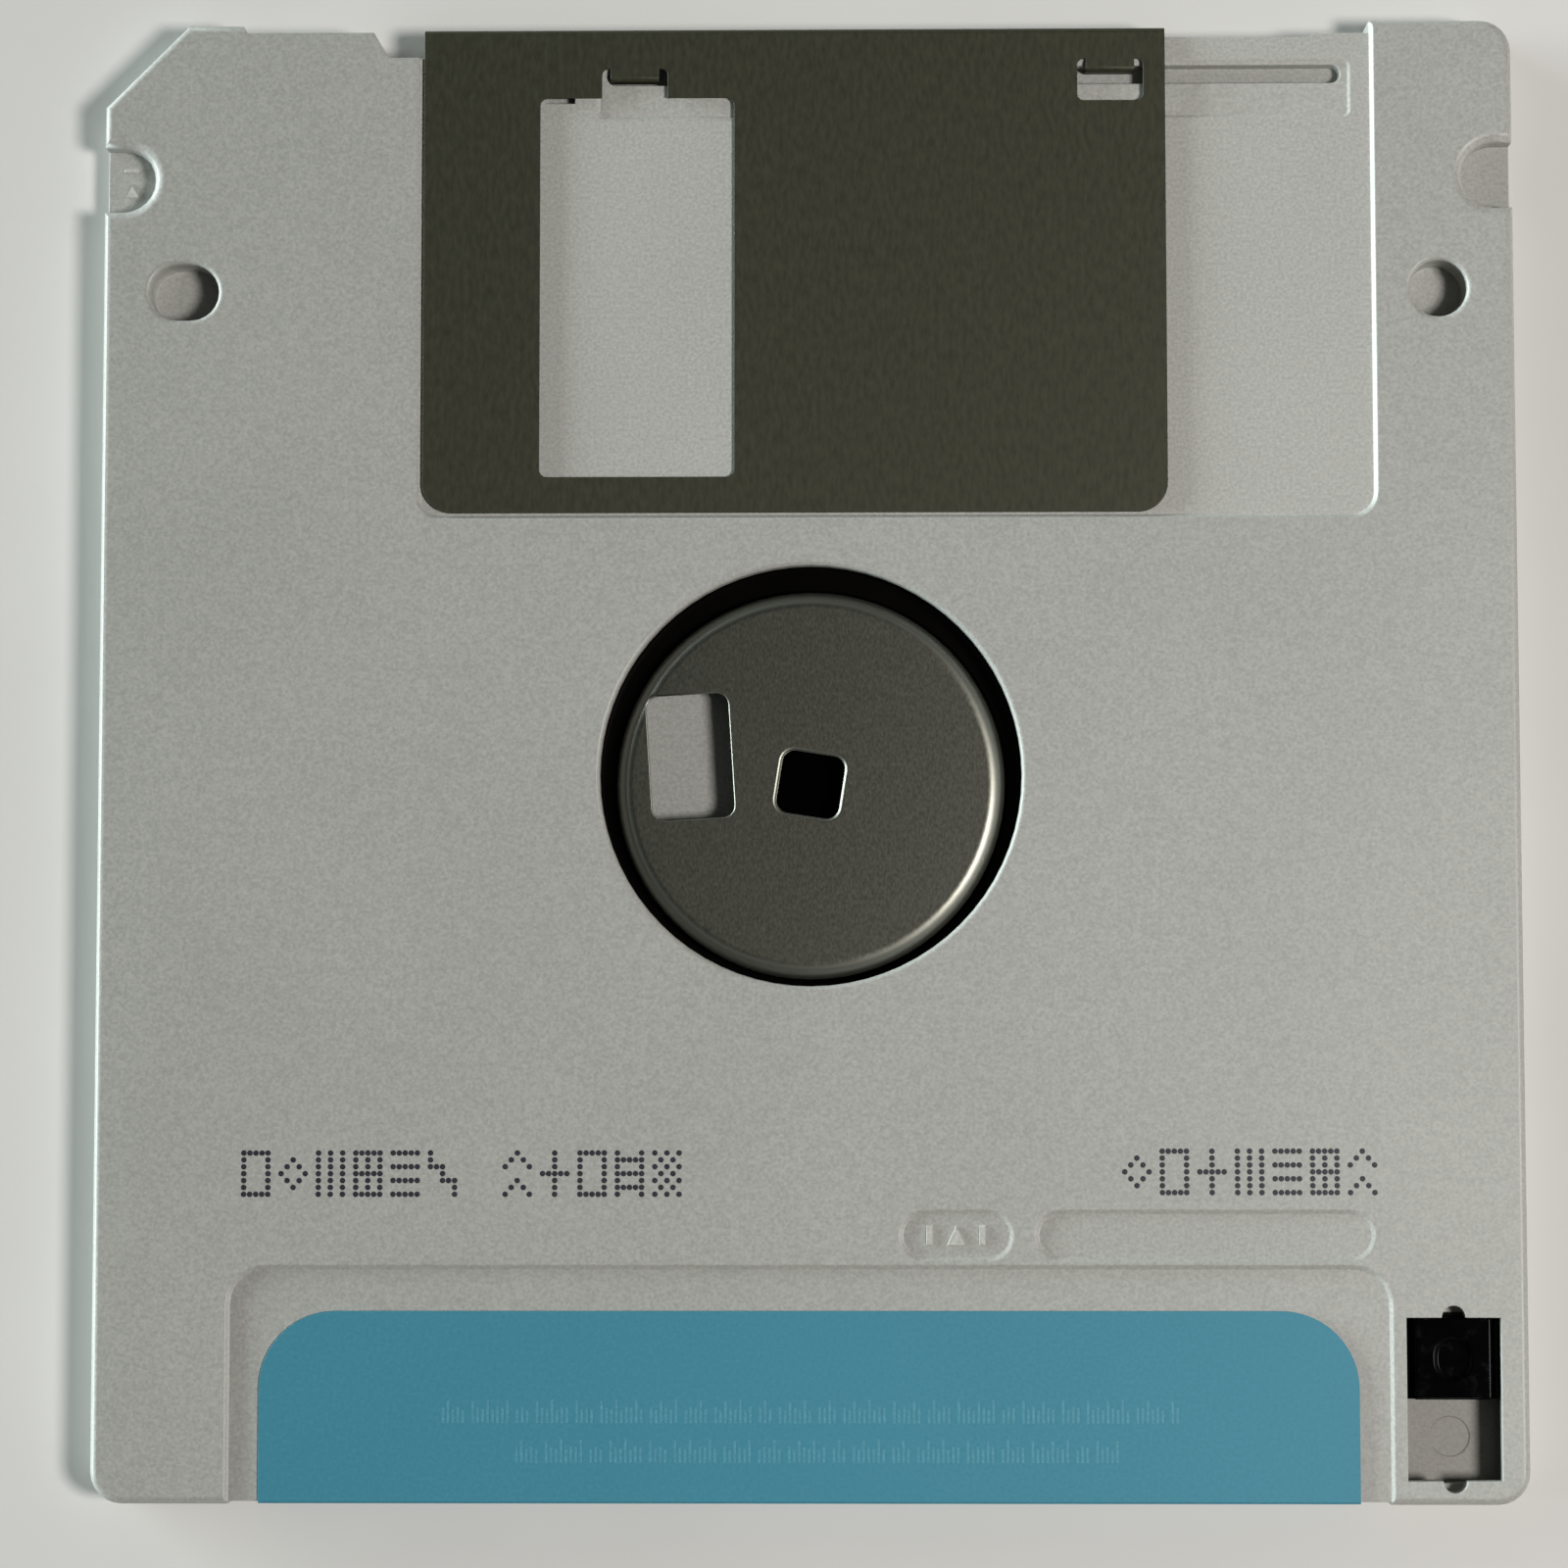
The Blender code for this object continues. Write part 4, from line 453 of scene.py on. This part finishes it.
# Each outer piece: its node, body, slot, finish and edge rounding
SKINS = (
    ("hub_side_shell", "case", "case_plastic", CASE_PLASTIC, 0.05 * MM),
    ("label_side_shell", "case", "case_plastic", LOWER_CASE_PLASTIC, 0.05 * MM),
    ("shutter", "shutter", "shutter_metal", SHUTTER_METAL, 0.035 * MM),
    ("hub_plate", "disk", "hub_steel", HUB_STEEL, 0.085 * MM),
    ("wear_button", "case", "black_plastic", BUTTON_BLACK, 0.05 * MM),
    ("write_protect_slider", "slider", "black_plastic", SLIDER_BLACK, 0.05 * MM),
    ("label", "case", "label_paper", LABEL_PAPER, 0.015 * MM),
)


# Pieces

def place_piece(name, mesh, body):
    piece = bpy.data.objects.new(name, mesh)
    bpy.context.scene.collection.objects.link(piece)
    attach(piece, body)
    return piece


def mesh_from(name, edit, finish):
    mesh = bpy.data.meshes.new(name)
    edit.to_mesh(mesh)
    edit.free()
    mesh.materials.append(finish)
    return mesh


def weigh_edges(edit):
    """Marks for rounding the sharp edges, and the gentler ones where a wide level face ends."""
    edit.normal_update()
    weight = edit.edges.layers.float.new("bevel_weight_edge")
    for edge in edit.edges:
        if len(edge.link_faces) != 2:
            continue
        angle = edge.calc_face_angle()
        ends_level = any(abs(face.normal.z) > LEVEL and face.calc_area() > WIDE_FACE
                         for face in edge.link_faces)
        if angle > SHARP_ANGLE or (ends_level and angle > GENTLE_ANGLE):
            edge[weight] = 1.0


def rounded_mesh(node, width, finish):
    """A welded copy of the node's mesh whose sharp edges are rounded to the width."""
    edit = bmesh.new()
    edit.from_mesh(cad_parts[node].data)
    bmesh.ops.remove_doubles(edit, verts=edit.verts, dist=WELD_DISTANCE)
    bmesh.ops.dissolve_limit(edit, angle_limit=FLAT_ANGLE, verts=edit.verts, edges=edit.edges)
    weigh_edges(edit)
    mesh = mesh_from(node + "_draft", edit, finish)
    mesh.shade_smooth()
    draft = bpy.data.objects.new(node + "_draft", mesh)
    bpy.context.scene.collection.objects.link(draft)
    bevel = draft.modifiers.new("edge_rounding", "BEVEL")
    bevel.limit_method = "WEIGHT"
    bevel.width = width
    bevel.segments = SKIN_SEGMENTS
    bevel.use_clamp_overlap = False
    weighted = draft.modifiers.new("flat_faces", "WEIGHTED_NORMAL")
    weighted.mode = "FACE_AREA"
    weighted.weight = NORMAL_WEIGHT
    weighted.keep_sharp = True
    depsgraph = bpy.context.evaluated_depsgraph_get()
    final = bpy.data.meshes.new_from_object(draft.evaluated_get(depsgraph))
    final.name = node + "_skin"
    bpy.data.objects.remove(draft)
    return final


def dress_nodes():
    for node, finish in HIDDEN_FINISHES.items():
        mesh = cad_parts[node].data
        mesh.materials.clear()
        mesh.materials.append(finish)
    for node, body, slot, finish, width in SKINS:
        piece = place_piece(node + "_skin", rounded_mesh(node, width, finish), body)
        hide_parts(node)


# Print and marks

def add_dot(edit, x, y, z):
    """A flat drop of ink with a domed top."""
    def ring(radius, height):
        return [edit.verts.new((x + radius * math.cos(2 * math.pi * i / DOT_SIDES),
                                y + radius * math.sin(2 * math.pi * i / DOT_SIDES), z + height))
                for i in range(DOT_SIDES)]

    radius = DOT_DIAMETER / 2
    rings = [ring(radius, -DOT_SINK), ring(radius, DOT_HEIGHT / 2),
             ring(radius * DOME_SHARE, DOT_HEIGHT)]
    for lower, upper in zip(rings, rings[1:]):
        for i in range(DOT_SIDES):
            edit.faces.new((lower[i - 1], lower[i], upper[i], upper[i - 1]))
    edit.faces.new(rings[0][::-1])
    edit.faces.new(rings[-1])


SHAPES = {
    "frame": ("#####", "#...#", "#...#", "#...#", "#...#", "#...#", "#####"),
    "diamond": (".....", "..#..", ".#.#.", "#...#", ".#.#.", "..#..", "....."),
    "bars": ("#####", ".....", "#####", ".....", "#####", ".....", "#####"),
    "plus": ("..#..", "..#..", "..#..", "#####", "..#..", "..#..", "..#.."),
    "ladder": ("#...#", "#####", "#...#", "#####", "#...#", "#####", "#...#"),
    "step": ("#....", "#....", "###..", "..#..", "..###", "....#", "....#"),
    "chevrons": ("..#..", ".#.#.", "#...#", ".....", "..#..", ".#.#.", "#...#"),
    "check": ("#.#.#", ".#.#.", "#.#.#", ".#.#.", "#.#.#", ".#.#.", "#.#.#"),
    "window": ("#####", "#.#.#", "#.#.#", "#####", "#.#.#", "#.#.#", "#####"),
    "posts": ("#.#.#", "#.#.#", "#.#.#", "#.#.#", "#.#.#", "#.#.#", "#.#.#"),
}
LEFT_SHAPES = ("frame", "diamond", "posts", "window", "bars", "step", None, "chevrons", "plus", "frame",
               "ladder", "check")
RIGHT_SHAPES = ("diamond", "frame", "plus", "posts", "bars", "window", "chevrons")


def add_shape_row(edit, place, names):
    """Shapes side by side from the place of the first one's lower left dot; None leaves a space."""
    left, base = place
    for cell, name in enumerate(names):
        if name is None:
            continue
        rows = SHAPES[name]
        for row, line in enumerate(rows):
            for column, mark in enumerate(line):
                if mark == "#":
                    add_dot(edit, left + cell * DOT_CELL_PITCH + column * DOT_COLUMN_PITCH,
                            base + (len(rows) - 1 - row) * DOT_ROW_PITCH, FACE_Z)


def build_dot_print():
    edit = bmesh.new()
    add_shape_row(edit, LEFT_PRINT, LEFT_SHAPES)
    add_shape_row(edit, RIGHT_PRINT, RIGHT_SHAPES)
    ink = print_ink("print_ink_finish", (0.010, 0.010, 0.018), thin=2.0)
    place_piece("dot_print", mesh_from("dot_print", edit, ink), "case")


def add_prism(edit, outline, low, high, taper=0.0):
    """A closed prism on an anticlockwise outline, its top drawn in by the taper."""
    centre = sum((Vector(point) for point in outline), Vector((0, 0))) / len(outline)
    lower = [edit.verts.new((x, y, low)) for x, y in outline]
    upper = []
    for x, y in outline:
        inward = (centre - Vector((x, y))).normalized() * taper
        upper.append(edit.verts.new((x + inward.x, y + inward.y, high)))
    for i in range(len(outline)):
        edit.faces.new((lower[i - 1], lower[i], upper[i], upper[i - 1]))
    edit.faces.new(lower[::-1])
    edit.faces.new(upper)


def box_outline(left, base, width, length):
    return [(left, base), (left + width, base), (left + width, base + length), (left, base + length)]


def triangle_outline(left, base, width, length):
    return [(left, base), (left + width, base), (left + width / 2, base + length)]


OUTLINES = {"bar": box_outline, "triangle": triangle_outline}


def build_label_print():
    """Two faint rows of plain strokes, grouped as words are."""
    edit = bmesh.new()
    for left, right, base in LABEL_ROWS:
        x = left
        stroke = 0
        word = 0
        while x + STROKE_WIDTH < right:
            for _ in range(WORD_LENGTHS[word % len(WORD_LENGTHS)]):
                if x + STROKE_WIDTH > right:
                    break
                height = STROKE_HEIGHTS_MM[stroke % len(STROKE_HEIGHTS_MM)] * MM
                add_prism(edit, box_outline(x, base, STROKE_WIDTH, height),
                          LABEL_Z - STROKE_SINK, LABEL_Z + STROKE_THICKNESS)
                x += STROKE_PITCH
                stroke += 1
            x += STROKE_PITCH
            word += 1
    ink = print_ink("label_ink_finish", (0.064, 0.252, 0.335), thin=1.35)
    place_piece("label_print", mesh_from("label_print", edit, ink), "case")


def add_marks(edit, marks, floor_z, rise, taper):
    for shape, *sizes in marks:
        outline = OUTLINES[shape](*(size * MM for size in sizes))
        add_prism(edit, outline, floor_z - MARK_SINK, floor_z + rise, taper)


def build_mould_marks():
    """Small raised marks in the short pill and on the left notch's floor."""
    edit = bmesh.new()
    add_marks(edit, PILL_MARKS, PILL_FLOOR_Z, PILL_MARK_RISE, PILL_MARK_TAPER)
    add_marks(edit, NOTCH_MARKS, NOTCH_FLOOR_Z, NOTCH_MARK_RISE, NOTCH_MARK_TAPER)
    # The marks' lighter tone is painted light
    finish = moulded_plastic("mould_mark_finish", MARK_PAINTED_LIGHT_COLOUR, roughness=0.4)
    place_piece("mould_marks", mesh_from("mould_marks", edit, finish), "case")


# Camera, light and floor

def add_camera():
    data = bpy.data.cameras.new("camera")
    data.lens = LENS
    data.sensor_width = SENSOR
    data.clip_start = CLIP_START
    camera = bpy.data.objects.new("camera", data)
    camera.location = CAMERA_PLACE
    camera.rotation_euler = Euler(CAMERA_TURN, "XYZ")
    bpy.context.scene.collection.objects.link(camera)
    bpy.context.scene.camera = camera


def add_world():
    """Pale walls low down all round, and a dim ceiling."""
    world = bpy.data.worlds.new("studio")
    world.use_nodes = True
    tree = world.node_tree
    direction = tree.nodes.new("ShaderNodeTexCoord").outputs["Generated"]
    strength = remapped(tree, height_of(tree, direction), WALL_RISE, CEILING_RISE,
                        WALL_STRENGTH, CEILING_STRENGTH)
    background = tree.nodes["Background"]
    background.inputs["Color"].default_value = (*WORLD_COLOUR, 1.0)
    tree.links.new(strength, background.inputs["Strength"])
    bpy.context.scene.world = world


def add_area_light(name, place, power, colour, size, size_y=None):
    """A round light, or a rectangle where size_y is given, that shines at the origin."""
    data = bpy.data.lights.new(name, "AREA")
    data.shape = "DISK" if size_y is None else "RECTANGLE"
    data.size = size
    if size_y is not None:
        data.size_y = size_y
    data.energy = power
    data.color = colour
    light = bpy.data.objects.new(name, data)
    light.location = place
    light.rotation_euler = Vector(place).to_track_quat("Z", "Y").to_euler()
    light.visible_camera = False
    bpy.context.scene.collection.objects.link(light)


def add_lights():
    add_area_light("key", KEY_PLACE, KEY_POWER, KEY_COLOUR, KEY_SIZE)
    reach = LOW_DISTANCE * math.cos(LOW_ELEVATION)
    low_place = (reach * math.cos(LOW_AZIMUTH), reach * math.sin(LOW_AZIMUTH),
                 LOW_DISTANCE * math.sin(LOW_ELEVATION))
    add_area_light("low_window", low_place, LOW_POWER, LOW_COLOUR, *LOW_SIZE)


def add_floor():
    edit = bmesh.new()
    bmesh.ops.create_grid(edit, x_segments=1, y_segments=1, size=FLOOR_HALF_WIDTH)
    material, tree, shader = new_material("floor_finish")
    clouds = noise(tree, object_place(tree), 30 * MM, detail=3.0)
    set_colour(tree, shader, ramp(tree, clouds, (NOISE_LOW, FLOOR_DARK), (NOISE_HIGH, FLOOR_LIGHT)))
    shader.inputs["Roughness"].default_value = 0.9
    shader.inputs["Specular IOR Level"].default_value = 0.2
    floor = bpy.data.objects.new("floor", mesh_from("floor", edit, material))
    floor.location.z = -FLOOR_CLEARANCE
    bpy.context.scene.collection.objects.link(floor)


def main():
    scene = bpy.context.scene
    scene.view_settings.view_transform = "Standard"
    scene.view_settings.look = "None"
    add_camera()
    add_world()
    add_lights()
    add_floor()
    dress_nodes()
    build_dot_print()
    build_label_print()
    build_mould_marks()


main()
